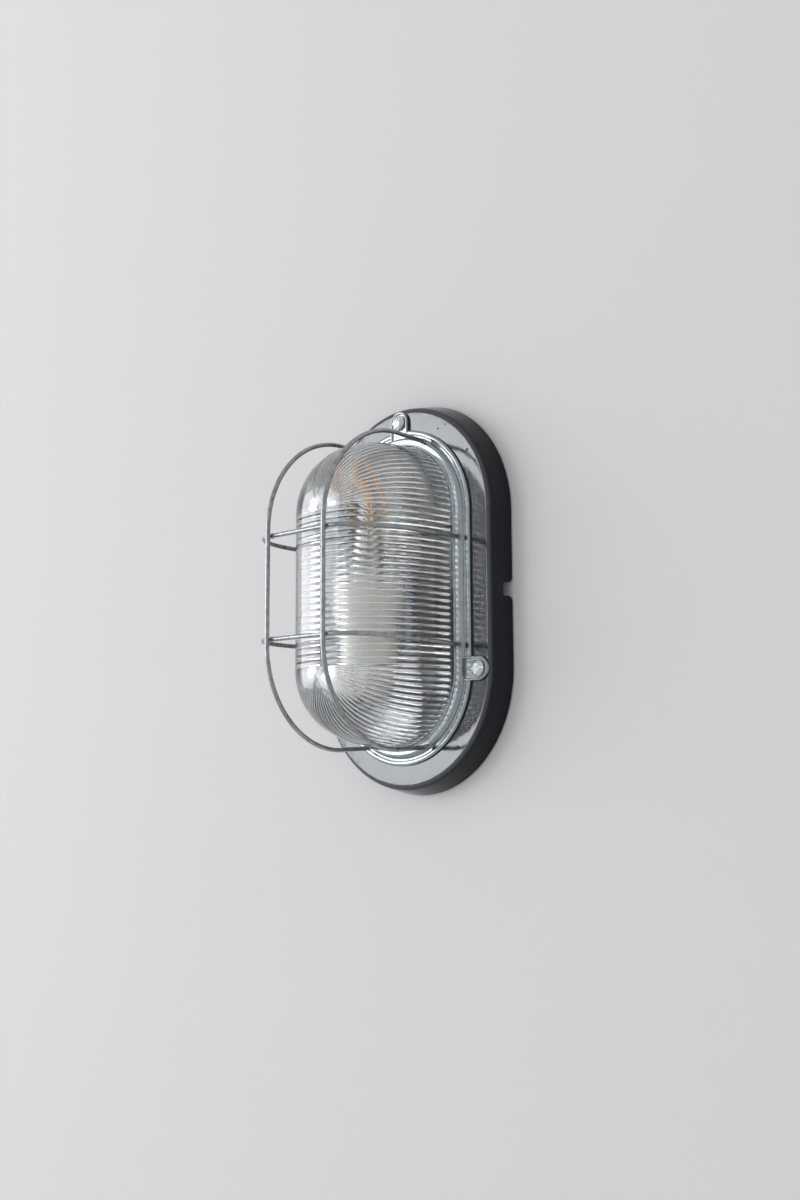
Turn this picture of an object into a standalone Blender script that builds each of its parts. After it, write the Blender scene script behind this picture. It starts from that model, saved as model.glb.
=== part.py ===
# Oval bulkhead wall light: glazed porcelain base, ribbed glass dome, pressed clamping ring with a welded
# wire cage, screw lampholder with a filament bulb, terminal block and leads.
#
# Metres, +Z up. The wall is the plane y = 0 and the light stands out of it towards -Y. The origin is the
# centre of the base's back. "Depth" below is the distance out from the wall: a point's y is minus its depth.
# The base, gasket, glass and ring all follow one oval: two half circles joined by straight sides, at a given
# half width from a straight core on the Z axis.

import math

import bmesh
import bpy
from mathutils import Matrix, Vector

MM = 0.001

# Fits
GAP = 0.3 * MM
SCREW_CLEARANCE = 0.35 * MM
MERGE = 0.00001

# Facets
ARC_STEPS = 18
HOLE_SIDES = 10
SCREW_SIDES = 8
TURNED_SIDES = 20
BULB_ROWS = 5

# Porcelain base
BASE_MARGIN = 13.3 * MM
BASE_DEPTH = 17.0 * MM
BASE_DRAFT = 4.2 * MM
BASE_RIM_RADIUS = 2.6 * MM
BACK_HOLLOW_DEPTH = 6.5 * MM
BACK_HOLLOW_CLEARANCE = 1.5 * MM
BACK_HOLLOW_DRAFT = 0.8 * MM
FLOOR_THICKNESS = 4.5 * MM
SEAT_WIDTH = 9.7 * MM
WELL_DRAFT = 1.2 * MM
SEAT_REBATE = 2.0 * MM

# Cable entry in the right side of the foot
ENTRY_HALF_WIDTH = 4.2 * MM
ENTRY_DEPTH = 7.2 * MM
ENTRY_FLARE = 4.2 * MM
ENTRY_CORNER = 1.4 * MM
ENTRY_Z = -1.5 * MM

# Wall fixings, on bosses that reach the wall
WALL_HOLE_RADIUS = 2.75 * MM
WALL_BOSS_RADIUS = 7.0 * MM
WALL_HOLE_X = 33.0 * MM
WALL_HOLE_Z = 40.0 * MM

# Cable hole with its rubber grommet
CABLE_HOLE_RADIUS = 7.0 * MM
CABLE_HOLE_Z = 48.0 * MM
GROMMET_BORE_RADIUS = 4.2 * MM
GROMMET_FLANGE_RADIUS = 9.2 * MM
GROMMET_FLANGE = 1.6 * MM

# Gasket and ribbed glass
GASKET_THICKNESS = 1.7 * MM
GASKET_INSET = 1.2 * MM
GLASS_FLANGE_WIDTH = 3.8 * MM
GLASS_FLANGE_THICKNESS = 3.0 * MM
GLASS_HALF_WIDTH = 49.4 * MM
GLASS_CROWN_CLEARANCE = 7.8 * MM
GLASS_WALL = 3.3 * MM
GLASS_SIDE_POWER = 3.0
GLASS_CROWN_POWER = 2.6
GLASS_ARC_STEPS = 24
GLASS_ROWS = 8
GLASS_INSIDE_ROWS = 5
RIBS_PER_SIDE = 24
RIBS_PER_END = 38
RIB_HEIGHT = 1.1 * MM
RIB_RUN_OUT = 1.5 * MM
RIB_FADE_HALF_WIDTH = 40.0 * MM

# Pressed clamping ring
SHEET = 0.9 * MM
RING_FLANGE_WIDTH = 5.3 * MM
RING_BORE_CLEARANCE = 0.6 * MM
RING_SIDE_CLEARANCE = 0.9 * MM
RING_STEP_DRAFT = 0.9 * MM
RING_LIP_WIDTH = 1.4 * MM
RING_LIP_HEIGHT = 0.8 * MM
RING_SHOULDER_WIDTH = 1.5 * MM
RING_SHOULDER_HEIGHT = 0.4 * MM
RING_EDGE_WIDTH = 1.9 * MM
RING_EDGE_HEIGHT = 0.7 * MM

# Ears of the ring and their screws
EAR_REACH = 5.9 * MM
EAR_RADIUS = 7.7 * MM
EAR_RIM_WIDTH = 1.9 * MM
EAR_RIM_HEIGHT = 1.2 * MM
LOWER_EAR_DROP = 1.0 * MM
EAR_RIM_CROWN = 0.8 * MM
EAR_POCKET_DEPTH = 0.3 * MM
EAR_THICKNESS = 1.0 * MM
EAR_SINK = 0.05 * MM
EAR_STEPS = 8
EAR_SCREW_RADIUS = 2.5 * MM
EAR_SCREW_HEAD_RADIUS = 5.2 * MM
EAR_SCREW_HEAD_HEIGHT = 3.2 * MM
EAR_NUT_WIDTH = 8.0 * MM
EAR_NUT_THICKNESS = 3.6 * MM
SCREW_TAIL = 1.2 * MM

# Form of every screw, as shares of its own head and shank
HEAD_CROWN_RADIUS_SHARE = 0.7
HEAD_CROWN_LEVEL_SHARE = 0.85
HEAD_EDGE_LEVEL_SHARE = 0.4
SLOT_WIDTH_SHARE = 0.24
SLOT_DEPTH_SHARE = 0.5
SHANK_POINT_SHARE = 0.6

# Wire cage
WIRE_RADIUS = 1.4 * MM
CAGE_FRONT_CLEARANCE = 22.2 * MM
CAGE_WIRE_X = 25.6 * MM
CAGE_LEG_BULGE = 1.5 * MM
CAGE_CORNER_Z = 65.0 * MM
CAGE_CORNER_DEPTH = 61.0 * MM
HOOP_Z = 32.4 * MM
HOOP_SIDE_CLEARANCE = 2.7 * MM
HOOP_CORNER_X = 26.5 * MM
HOOP_CORNER_DEPTH = 46.0 * MM
LOWER_HOOP_RIGHT_DROP = 3.2 * MM
WELD_OUTSET = 0.5 * MM
WIRE_CORNER_STEPS = 10

# Bulb and lampholder, on an axis parallel to the wall
BULB_FLOOR_CLEARANCE = 6.0 * MM
BULB_TIP_CLEARANCE = 4.03 * MM
BRACKET_END_CLEARANCE = 10.6 * MM
HOLDER_LENGTH = 64.0 * MM
HOLDER_SKIRT_RADIUS = 22.6 * MM
HOLDER_SKIRT_LENGTH = 30.0 * MM
HOLDER_WAIST_RADIUS = 18.6 * MM
HOLDER_EDGE = 2.0 * MM
HOLDER_BORE_RADIUS = 14.6 * MM
HOLDER_BORE_DEPTH = 34.0 * MM
SHELL_THICKNESS = 0.5 * MM
SHELL_LENGTH = 23.0 * MM
CONTACT_THICKNESS = 0.6 * MM
CONTACT_WIDTH = 6.0 * MM
CONTACT_FOOT = 9.0 * MM
CONTACT_LEAN = 6.0 * MM
CONTACT_LEAF = 9.0 * MM

BRACKET_SHEET = 1.6 * MM
BRACKET_WIDTH = 26.0 * MM
BRACKET_FOOT = 19.0 * MM
BRACKET_REACH = 14.0 * MM
BRACKET_BEND = 2.4 * MM
BRACKET_SCREW_X = 7.0 * MM
SMALL_SCREW_RADIUS = 2.0 * MM
SMALL_SCREW_HEAD_RADIUS = 3.9 * MM
SMALL_SCREW_HEAD_HEIGHT = 2.4 * MM
SMALL_NUT_WIDTH = 7.0 * MM
SMALL_NUT_THICKNESS = 2.8 * MM
HOLDER_SCREW_SPREAD = 8.0 * MM
HOLDER_SCREW_LENGTH = 8.0 * MM

CAP_RADIUS = 13.1 * MM
CAP_WALL = 0.4 * MM
CAP_LENGTH = 22.0 * MM
CAP_ABOVE_HOLDER = 3.0 * MM
CAP_SHOULDER = 3.0 * MM
INSULATOR_RADIUS = 8.2 * MM
INSULATOR_HEIGHT = 3.0 * MM
TIP_RADIUS = 4.0 * MM
TIP_CROWN_RADIUS = 2.8 * MM
TIP_HEIGHT = 1.4 * MM
BULB_RADIUS = 30.0 * MM
BULB_NECK_LENGTH = 50.0 * MM
BULB_GLASS = 0.8 * MM
BULB_NECK_DIP = 5.0 * MM
STEM_RADIUS = 2.6 * MM
STEM_LENGTH = 34.0 * MM
STEM_FLARE_RADIUS = 5.7 * MM
STEM_FLARE_LEVEL = 7.0 * MM
STEM_NECK_LEVEL = 15.5 * MM
FILAMENT_RADIUS = 1.1 * MM
FILAMENT_LENGTH = 34.0 * MM
FILAMENT_FOOT_SPREAD = 12.0 * MM
FILAMENT_TOP_SPREAD = 6.0 * MM
SPIDER_HALF_WIDTH = 0.5 * MM

# Terminal block with its tubes, screws and the leads to the lampholder
BLOCK_Z = 23.0 * MM
BLOCK_END = 1.5 * MM
BLOCK_HEIGHT = 11.0 * MM
BLOCK_TOP_INSET = 2.0 * MM
BLOCK_CHANNEL_DEPTH = 4.2 * MM
BLOCK_CHANNEL_CLEARANCE = 0.5 * MM
WAY_PITCH = 12.0 * MM
BLOCK_SIDE = 5.0 * MM
TUBE_RADIUS = 2.9 * MM
TUBE_BORE_RADIUS = 1.9 * MM
TUBE_DEPTH = 4.2 * MM
TUBE_LENGTH = 14.0 * MM
CLAMP_SCREW_RADIUS = 1.3 * MM
CLAMP_SHANK_RADIUS = 1.15 * MM
CLAMP_SCREW_INSET = 3.0 * MM
BLOCK_SCREW_RADIUS = 1.5 * MM
BLOCK_SCREW_HEAD_RADIUS = 2.8 * MM
BLOCK_SCREW_HEAD_HEIGHT = 1.8 * MM
BLOCK_NUT_WIDTH = 5.5 * MM
BLOCK_NUT_THICKNESS = 2.4 * MM
LEAD_RADIUS = 1.1 * MM
LEAD_ENTRY_X = 5.0 * MM
LEAD_ENTRY_ABOVE_FOOT = 14.0 * MM
LEAD_ENTRY_DEPTH = 4.0 * MM
LEAD_BEND = 6.0 * MM
LEAD_BEND_STEPS = 5

# Half widths of the oval that follow from the sizes above
GLASS_FLANGE_HALF_WIDTH = GLASS_HALF_WIDTH + GLASS_FLANGE_WIDTH
GLASS_INSIDE_HALF_WIDTH = GLASS_HALF_WIDTH - RIB_HEIGHT - GLASS_WALL
WELL_HALF_WIDTH = GLASS_FLANGE_HALF_WIDTH - SEAT_WIDTH
SEAT_HALF_WIDTH = GLASS_FLANGE_HALF_WIDTH + RING_SIDE_CLEARANCE
CROWN_HALF_WIDTH = SEAT_HALF_WIDTH + SHEET
RING_BORE = GLASS_HALF_WIDTH + RING_BORE_CLEARANCE
RING_STEP_FOOT = CROWN_HALF_WIDTH + RING_STEP_DRAFT
RING_HALF_WIDTH = RING_STEP_FOOT + RING_FLANGE_WIDTH
WELD_HALF_WIDTH = CROWN_HALF_WIDTH + WELD_OUTSET
EAR_OFFSET = RING_HALF_WIDTH + EAR_REACH
HOLLOW_HALF_WIDTH = EAR_OFFSET + EAR_NUT_WIDTH / math.sqrt(3) + BACK_HOLLOW_CLEARANCE
BASE_HALF_WIDTH = EAR_OFFSET + BASE_MARGIN

# Depths from the wall that follow
FLOOR_FRONT = BACK_HOLLOW_DEPTH + FLOOR_THICKNESS
SEAT_FRONT = BASE_DEPTH - SEAT_REBATE
GASKET_FRONT = SEAT_FRONT + GAP + GASKET_THICKNESS
GLASS_BACK = GASKET_FRONT + GAP
GLASS_FLANGE_FRONT = GLASS_BACK + GLASS_FLANGE_THICKNESS
RING_BACK = BASE_DEPTH + GAP
RING_FLOOR = RING_BACK + SHEET
CROWN_BACK = GLASS_FLANGE_FRONT + GAP
CROWN_FRONT = CROWN_BACK + SHEET
EAR_BACK = RING_BACK - EAR_SINK
EAR_FRONT = EAR_BACK + EAR_THICKNESS
WIRE_FOOT = CROWN_FRONT + RING_SHOULDER_HEIGHT + GAP
BLOCK_BACK = FLOOR_FRONT + GAP
LAMP_AXIS_DEPTH = FLOOR_FRONT + BULB_FLOOR_CLEARANCE + BULB_RADIUS
GLASS_INSIDE_PROJECTION = LAMP_AXIS_DEPTH + BULB_RADIUS + GLASS_CROWN_CLEARANCE
GLASS_PROJECTION = GLASS_INSIDE_PROJECTION + GLASS_WALL + RIB_HEIGHT
CAGE_FRONT = GLASS_PROJECTION + CAGE_FRONT_CLEARANCE

# Sizes of the terminal block that follow
BLOCK_LENGTH = TUBE_LENGTH + 2 * BLOCK_END
CLAMP_SCREW_SPREAD = TUBE_LENGTH / 2 - CLAMP_SCREW_INSET

# Radii that follow
BULB_NECK_RADIUS = CAP_RADIUS - CAP_WALL - GAP
STEM_FOOT_RADIUS = BULB_NECK_RADIUS - BULB_GLASS - GAP
LEAD_HOLE_RADIUS = LEAD_RADIUS + GAP

# The oval's length follows from the bulb, holder and bracket, which stand in line inside the dome
BRACKET_STACK = GAP + BRACKET_SHEET + BRACKET_BEND + BRACKET_FOOT
LAMP_STACK = BULB_RADIUS + BULB_NECK_LENGTH + CAP_ABOVE_HOLDER + HOLDER_LENGTH + BRACKET_STACK
AXIS_RISE_SHARE = (LAMP_AXIS_DEPTH - GLASS_FLANGE_FRONT) / (GLASS_INSIDE_PROJECTION - GLASS_FLANGE_FRONT)
DOME_END_SHARE = (1 - AXIS_RISE_SHARE ** GLASS_CROWN_POWER) ** (1 / GLASS_SIDE_POWER)
BULB_TIP_REACH = GLASS_INSIDE_HALF_WIDTH * DOME_END_SHARE - BULB_TIP_CLEARANCE
BRACKET_REACH_DOWN = WELL_HALF_WIDTH - WELL_DRAFT - BRACKET_END_CLEARANCE
CORE_HALF_LENGTH = (LAMP_STACK - BULB_TIP_REACH - BRACKET_REACH_DOWN) / 2

# Heights that follow, for the pieces on the lamp's axis
GLOBE_Z = CORE_HALF_LENGTH + BULB_TIP_REACH - BULB_RADIUS
CAP_TOP_Z = GLOBE_Z - BULB_NECK_LENGTH
CAP_FOOT_Z = CAP_TOP_Z - CAP_LENGTH
HOLDER_MOUTH_Z = CAP_TOP_Z - CAP_ABOVE_HOLDER
HOLDER_FOOT_Z = HOLDER_MOUTH_Z - HOLDER_LENGTH
HOLDER_FLOOR_Z = HOLDER_MOUTH_Z - HOLDER_BORE_DEPTH


# Materials

def finish(name, colour, roughness, metallic=0.0, transmission=0.0):
    material = bpy.data.materials.new(name)
    material.use_nodes = True
    shader = material.node_tree.nodes["Principled BSDF"]
    shader.inputs["Base Color"].default_value = (*colour, 1.0)
    shader.inputs["Roughness"].default_value = roughness
    shader.inputs["Metallic"].default_value = metallic
    shader.inputs["Transmission Weight"].default_value = transmission
    material.diffuse_color = (*colour, 1.0)
    return material


def make_finishes():
    return {
        "black_glaze": finish("black_glaze", (0.012, 0.014, 0.022), 0.12),
        "clear_glass": finish("clear_glass", (0.93, 0.95, 0.96), 0.02, transmission=1.0),
        "galvanised": finish("galvanised", (0.62, 0.65, 0.67), 0.35, metallic=1.0),
        "cage_wire": finish("cage_wire", (0.36, 0.39, 0.41), 0.45, metallic=1.0),
        "zinc": finish("zinc", (0.70, 0.71, 0.72), 0.3, metallic=1.0),
        "brass": finish("brass", (0.78, 0.60, 0.30), 0.3, metallic=1.0),
        "white_porcelain": finish("white_porcelain", (0.85, 0.82, 0.74), 0.2),
        "rubber": finish("rubber", (0.05, 0.05, 0.05), 0.7),
        "filament": finish("filament", (0.95, 0.60, 0.12), 0.5),
        "lead_brown": finish("lead_brown", (0.20, 0.09, 0.04), 0.5),
        "lead_blue": finish("lead_blue", (0.03, 0.12, 0.45), 0.5),
        "black_vitrite": finish("black_vitrite", (0.02, 0.02, 0.02), 0.2),
    }


# Mesh helpers

def to_object(name, bm, material, smooth_angle=30.0):
    bmesh.ops.remove_doubles(bm, verts=bm.verts, dist=MERGE)
    bmesh.ops.recalc_face_normals(bm, faces=bm.faces)
    mesh = bpy.data.meshes.new(name)
    bm.to_mesh(mesh)
    bm.free()
    if material is not None:
        mesh.materials.append(material)
    mesh.shade_smooth()
    mesh.set_sharp_from_angle(angle=math.radians(smooth_angle))
    piece = bpy.data.objects.new(name, mesh)
    bpy.context.collection.objects.link(piece)
    return piece


def as_tool(piece):
    piece.hide_render = True
    piece.display_type = "WIRE"
    return piece


def boolean(piece, tool, operation):
    modifier = piece.modifiers.new(operation.lower(), "BOOLEAN")
    modifier.operation = operation
    modifier.object = as_tool(tool)
    modifier.solver = "EXACT"


def loft(bm, loops, closed=False):
    pairs = list(zip(loops, loops[1:]))
    if closed:
        pairs.append((loops[-1], loops[0]))
    for near, far in pairs:
        for i in range(len(near)):
            j = (i + 1) % len(near)
            bm.faces.new((near[i], near[j], far[j], far[i]))


def oval_stations(arc_steps, side_steps):
    """Places round the oval: the height of the core point, and the outward direction in X and Z."""
    stations = []
    for end in (1, -1):
        for i in range(arc_steps + 1):
            angle = math.pi * i / arc_steps + (0.0 if end == 1 else math.pi)
            stations.append((end * CORE_HALF_LENGTH, math.cos(angle), math.sin(angle)))
        for i in range(1, side_steps):
            height = end * CORE_HALF_LENGTH * (1 - 2 * i / side_steps)
            stations.append((height, -end, 0.0))
    return stations


def oval_loop(bm, half_width, depth, stations=None):
    stations = stations or oval_stations(ARC_STEPS, 1)
    return [bm.verts.new((half_width * x, -depth, core + half_width * z)) for core, x, z in stations]


def oval_solid(name, section, material, capped, smooth_angle=30.0):
    """Sweeps a section of (half width, depth) points round the oval, as a ring or with both ends capped."""
    bm = bmesh.new()
    loops = [oval_loop(bm, half_width, depth) for half_width, depth in section]
    loft(bm, loops, closed=not capped)
    if capped:
        bm.faces.new(loops[0])
        bm.faces.new(loops[-1])
    return to_object(name, bm, material, smooth_angle)


def turned(name, profile, material, segments, place, ring=False, smooth_angle=40.0):
    """Spins a profile of (radius, height) points about Z, then moves the solid by a matrix."""
    bm = bmesh.new()
    points = [bm.verts.new((radius, 0.0, height)) for radius, height in profile]
    edges = [bm.edges.new(pair) for pair in zip(points, points[1:])]
    if ring:
        edges.append(bm.edges.new((points[-1], points[0])))
    bmesh.ops.spin(bm, geom=points + edges, cent=(0, 0, 0), axis=(0, 0, 1), angle=math.tau,
                   steps=segments, use_merge=True)
    bmesh.ops.transform(bm, matrix=place, verts=bm.verts)
    return to_object(name, bm, material, smooth_angle)


def facing_out(x, depth, z):
    """Turns a piece's own +Z away from the wall and puts its origin at a place."""
    return Matrix.Translation((x, -depth, z)) @ Matrix.Rotation(math.pi / 2, 4, "X")


def on_lamp_axis(z):
    return Matrix.Translation((0.0, -LAMP_AXIS_DEPTH, z))


def rod(radius, start, end):
    """A plain cylinder between two heights on its own axis, as a profile for turning."""
    return [(0.0, end), (radius, end), (radius, start), (0.0, start)]


def join(name, pieces):
    """Joins solids that stay clear of each other into one object, for use as a cutter or an added form."""
    bm = bmesh.new()
    for piece in pieces:
        bm.from_mesh(piece.data)
        bpy.data.objects.remove(piece)
    return to_object(name, bm, None)


def drill(name, radius, back, front, places):
    """Cylinders that face out from the wall, one at each place (x, z), from one depth to another."""
    return join(name, [turned(name, rod(radius, 0.0, front - back), None, HOLE_SIDES, facing_out(x, back, z))
                       for x, z in places])


def extruded(name, outline, thickness, place, material):
    """Closes an outline of (x, y) points and draws it out along +Z, then moves it by a matrix."""
    bm = bmesh.new()
    face = bm.faces.new([bm.verts.new((x, y, 0.0)) for x, y in outline])
    grown = bmesh.ops.extrude_face_region(bm, geom=[face])
    bmesh.ops.translate(bm, vec=(0, 0, thickness), verts=[v for v in grown["geom"]
                                                         if isinstance(v, bmesh.types.BMVert)])
    bmesh.ops.transform(bm, matrix=place, verts=bm.verts)
    return to_object(name, bm, material)


def arc(centre, radius, start, end, steps):
    return [(centre[0] + radius * math.cos(math.radians(start + (end - start) * i / steps)),
             centre[1] + radius * math.sin(math.radians(start + (end - start) * i / steps)))
            for i in range(steps + 1)]


def bead(inner, outer, level, height, steps=3):
    """Points of a half-round bead that stands up by height between two half widths."""
    return [(inner + (outer - inner) * (1 - math.cos(math.pi * i / steps)) / 2,
             level + height * math.sin(math.pi * i / steps)) for i in range(steps + 1)]


def tube_curve(name, points, radius, material, resolution=1):
    curve = bpy.data.curves.new(name, "CURVE")
    curve.dimensions = "3D"
    curve.bevel_depth = radius
    curve.bevel_resolution = resolution
    curve.use_fill_caps = True
    spline = curve.splines.new("POLY")
    spline.points.add(len(points) - 1)
    for slot, point in zip(spline.points, points):
        slot.co = (*point, 1.0)
    curve.materials.append(material)
    piece = bpy.data.objects.new(name, curve)
    bpy.context.collection.objects.link(piece)
    return piece


# Where the fasteners are

def ear_places():
    return {
        "top": (0.0, CORE_HALF_LENGTH + EAR_OFFSET, 90.0),
        "lower_left": (-EAR_OFFSET, -CORE_HALF_LENGTH - LOWER_EAR_DROP, 180.0),
        "lower_right": (EAR_OFFSET, -CORE_HALF_LENGTH - LOWER_EAR_DROP, 0.0),
    }


def bracket_screw_places():
    z = HOLDER_FOOT_Z - GAP - BRACKET_SHEET - BRACKET_BEND - BRACKET_FOOT / 2
    return {"left": (-BRACKET_SCREW_X, z), "right": (BRACKET_SCREW_X, z)}


def wall_places():
    return [(WALL_HOLE_X, WALL_HOLE_Z), (-WALL_HOLE_X, -WALL_HOLE_Z)]


def way_places():
    return {"left": -WAY_PITCH / 2, "right": WAY_PITCH / 2}


# Base, gasket and glass

def base_section():
    """From the middle of the back hollow, round the foot, the side and the front, into the front well."""
    hollow = HOLLOW_HALF_WIDTH
    front = BASE_HALF_WIDTH - BASE_DRAFT - BASE_RIM_RADIUS
    rim = arc((front, BASE_DEPTH - BASE_RIM_RADIUS), BASE_RIM_RADIUS, 0.0, 90.0, 4)
    return [
        (hollow - 2 * BACK_HOLLOW_DRAFT, BACK_HOLLOW_DEPTH),
        (hollow - BACK_HOLLOW_DRAFT, BACK_HOLLOW_DEPTH - BACK_HOLLOW_DRAFT / 2),
        (hollow, 0.0),
        (BASE_HALF_WIDTH, 0.0),
        *rim,
        (SEAT_HALF_WIDTH, BASE_DEPTH),
        (SEAT_HALF_WIDTH, SEAT_FRONT),
        (WELL_HALF_WIDTH, SEAT_FRONT),
        (WELL_HALF_WIDTH - WELL_DRAFT, FLOOR_FRONT),
    ]


def cable_entry_cutter():
    """A notch through the foot: square at its inner end, with a mouth that flares at the wall."""
    half, flare, corner = ENTRY_HALF_WIDTH, ENTRY_FLARE, ENTRY_CORNER
    side = arc((half + flare, flare), flare, 270.0, 180.0, 4)
    side += arc((half - corner, ENTRY_DEPTH - corner), corner, 0.0, 90.0, 3)
    mouth = [(half + flare, -BACK_HOLLOW_DEPTH)]
    outline = mouth + side
    outline += [(-x, depth) for x, depth in reversed(outline)]
    inner = HOLLOW_HALF_WIDTH - EAR_NUT_WIDTH
    place = Matrix(((0, 0, 1, inner), (0, -1, 0, 0), (1, 0, 0, ENTRY_Z), (0, 0, 0, 1)))
    return extruded("cable_entry_cutter", outline, BASE_MARGIN + EAR_NUT_WIDTH, place, None)


def make_base(finishes):
    base = oval_solid("base", base_section(), finishes["black_glaze"], capped=True)
    inside_floor = BACK_HOLLOW_DEPTH + FLOOR_THICKNESS / 2
    bosses = drill("wall_bosses", WALL_BOSS_RADIUS, 0.0, inside_floor, wall_places())
    boolean(base, bosses, "UNION")
    through = BASE_DEPTH + BACK_HOLLOW_DEPTH
    ears = [(x, z) for x, z, _ in ear_places().values()]
    holes = join("base_holes", [
        drill("wall_holes", WALL_HOLE_RADIUS, -GAP, through, wall_places()),
        drill("ear_holes", EAR_SCREW_RADIUS + SCREW_CLEARANCE, -GAP, through, ears),
        drill("bracket_holes", SMALL_SCREW_RADIUS + SCREW_CLEARANCE, -GAP, through,
              bracket_screw_places().values()),
        drill("block_hole", BLOCK_SCREW_RADIUS + SCREW_CLEARANCE, -GAP, through, [(0.0, BLOCK_Z)]),
        drill("cable_hole", CABLE_HOLE_RADIUS, -GAP, through, [(0.0, CABLE_HOLE_Z)]),
    ])
    boolean(base, holes, "DIFFERENCE")
    boolean(base, cable_entry_cutter(), "DIFFERENCE")
    return base


def make_gasket(finishes):
    inner = WELL_HALF_WIDTH + GASKET_INSET
    back, front = SEAT_FRONT + GAP, GASKET_FRONT
    outer = GLASS_FLANGE_HALF_WIDTH
    section = [(inner, back), (outer, back), (outer, front), (inner, front)]
    return oval_solid("gasket", section, finishes["rubber"], capped=False)


def glass_profile(half_width, back, front, rows):
    """Half widths and depths from the foot of the dome to its crown, with the outward slope at each."""
    points = []
    for i in range(rows + 1):
        turn = math.pi / 2 * i / rows
        across = math.cos(turn) ** (2 / GLASS_SIDE_POWER) if i < rows else 0.0
        along = math.sin(turn) ** (2 / GLASS_CROWN_POWER)
        slope = Vector((across ** (GLASS_SIDE_POWER - 1) / half_width,
                        along ** (GLASS_CROWN_POWER - 1) / (front - back))).normalized()
        points.append((half_width * across, back + (front - back) * along, slope))
    return points


def rib_stations():
    """Two stations for each rib, one on its crest and one in the valley, evenly spaced round the oval."""
    return oval_stations(2 * RIBS_PER_END, 2 * RIBS_PER_SIDE)


def make_glass(finishes):
    """A dome on a plain flange, smooth outside. Ribs stand on the inside wall, from the flange to the poles."""
    section = [(GLASS_FLANGE_HALF_WIDTH, GLASS_BACK),
               (GLASS_FLANGE_HALF_WIDTH, GLASS_FLANGE_FRONT - GAP),
               (GLASS_FLANGE_HALF_WIDTH - GAP, GLASS_FLANGE_FRONT)]
    section += [(half_width, depth) for half_width, depth, _ in
                glass_profile(GLASS_HALF_WIDTH, GLASS_FLANGE_FRONT, GLASS_PROJECTION, GLASS_ROWS)]
    bm = bmesh.new()
    stations = oval_stations(GLASS_ARC_STEPS, 1)
    loops = [oval_loop(bm, half_width, depth, stations) for half_width, depth in section]
    loft(bm, loops)
    bm.faces.new(loops[0])
    glass = to_object("glass", bm, finishes["clear_glass"], smooth_angle=15.0)

    bm = bmesh.new()
    valley_half_width, valley_projection = GLASS_HALF_WIDTH - GLASS_WALL, GLASS_PROJECTION - GLASS_WALL
    loops = [oval_loop(bm, valley_half_width, depth, rib_stations())
             for depth in (GLASS_BACK - GASKET_THICKNESS, GLASS_FLANGE_FRONT)]
    rows = [(valley_half_width, GLASS_FLANGE_FRONT + RIB_RUN_OUT, Vector((1.0, 0.0)))]
    rows += glass_profile(valley_half_width, GLASS_FLANGE_FRONT, valley_projection, GLASS_INSIDE_ROWS)[1:]
    for half_width, depth, slope in rows:
        loop = []
        for i, (core, x, z) in enumerate(rib_stations()):
            on_end = abs(core) >= CORE_HALF_LENGTH - MERGE
            fade = min(1.0, half_width / RIB_FADE_HALF_WIDTH) if on_end else 1.0
            rise = RIB_HEIGHT * fade if i % 2 else 0.0
            reach = half_width - rise * slope.x
            loop.append(bm.verts.new((reach * x, -(depth - rise * slope.y), core + reach * z)))
        loops.append(loop)
    loft(bm, loops)
    bm.faces.new(loops[0])
    boolean(glass, to_object("glass_hollow", bm, None), "DIFFERENCE")
    return glass


# Clamping ring

def ring_section():
    lip = bead(RING_BORE, RING_BORE + RING_LIP_WIDTH, CROWN_FRONT, RING_LIP_HEIGHT)
    shoulder = bead(CROWN_HALF_WIDTH - RING_SHOULDER_WIDTH, CROWN_HALF_WIDTH, CROWN_FRONT,
                    RING_SHOULDER_HEIGHT)
    edge = bead(RING_HALF_WIDTH - RING_EDGE_WIDTH, RING_HALF_WIDTH, RING_FLOOR, RING_EDGE_HEIGHT)
    return [
        (RING_BORE, CROWN_BACK),
        *lip,
        *shoulder,
        (RING_STEP_FOOT, RING_FLOOR),
        *edge,
        (RING_HALF_WIDTH, RING_BACK),
        (RING_STEP_FOOT - SHEET, RING_BACK),
        (CROWN_HALF_WIDTH - SHEET, CROWN_BACK),
    ]


def ear_outline(radius, inner):
    """A tongue that starts at a distance inside the screw's centre and ends in a half circle round it."""
    return [(-inner, -radius), *arc((0.0, 0.0), radius, -90.0, 90.0, EAR_STEPS), (-inner, radius)]


def ear_place(x, z, angle, depth):
    """The ear's own X points away from the oval, and its Z away from the wall."""
    turn = Matrix.Rotation(math.radians(angle), 4, "Z")
    return facing_out(x, depth, z) @ turn


def make_ear(x, z, angle):
    """A flat tongue with a raised rim round its outer edge."""
    root = EAR_OFFSET - CROWN_HALF_WIDTH - RING_STEP_DRAFT / 2
    levels = [
        (0.0, 0.0),
        (0.0, EAR_THICKNESS + EAR_RIM_HEIGHT / 2),
        ((EAR_RIM_WIDTH - EAR_RIM_CROWN) / 2, EAR_THICKNESS + EAR_RIM_HEIGHT),
        ((EAR_RIM_WIDTH + EAR_RIM_CROWN) / 2, EAR_THICKNESS + EAR_RIM_HEIGHT),
        (EAR_RIM_WIDTH, EAR_THICKNESS),
    ]
    bm = bmesh.new()
    loops = []
    for inset, height in levels:
        loops.append([bm.verts.new((u, v, height)) for u, v in ear_outline(EAR_RADIUS - inset, root)])
    for near, far in zip(loops, loops[1:]):
        for i in range(len(near) - 1):
            bm.faces.new((near[i], near[i + 1], far[i + 1], far[i]))
    bm.faces.new(loops[0])
    bm.faces.new(loops[-1])
    bm.faces.new([loop[0] for loop in loops] + [loop[-1] for loop in reversed(loops)])
    bmesh.ops.transform(bm, matrix=ear_place(x, z, angle, EAR_BACK), verts=bm.verts)
    return to_object("ear", bm, None)


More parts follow.
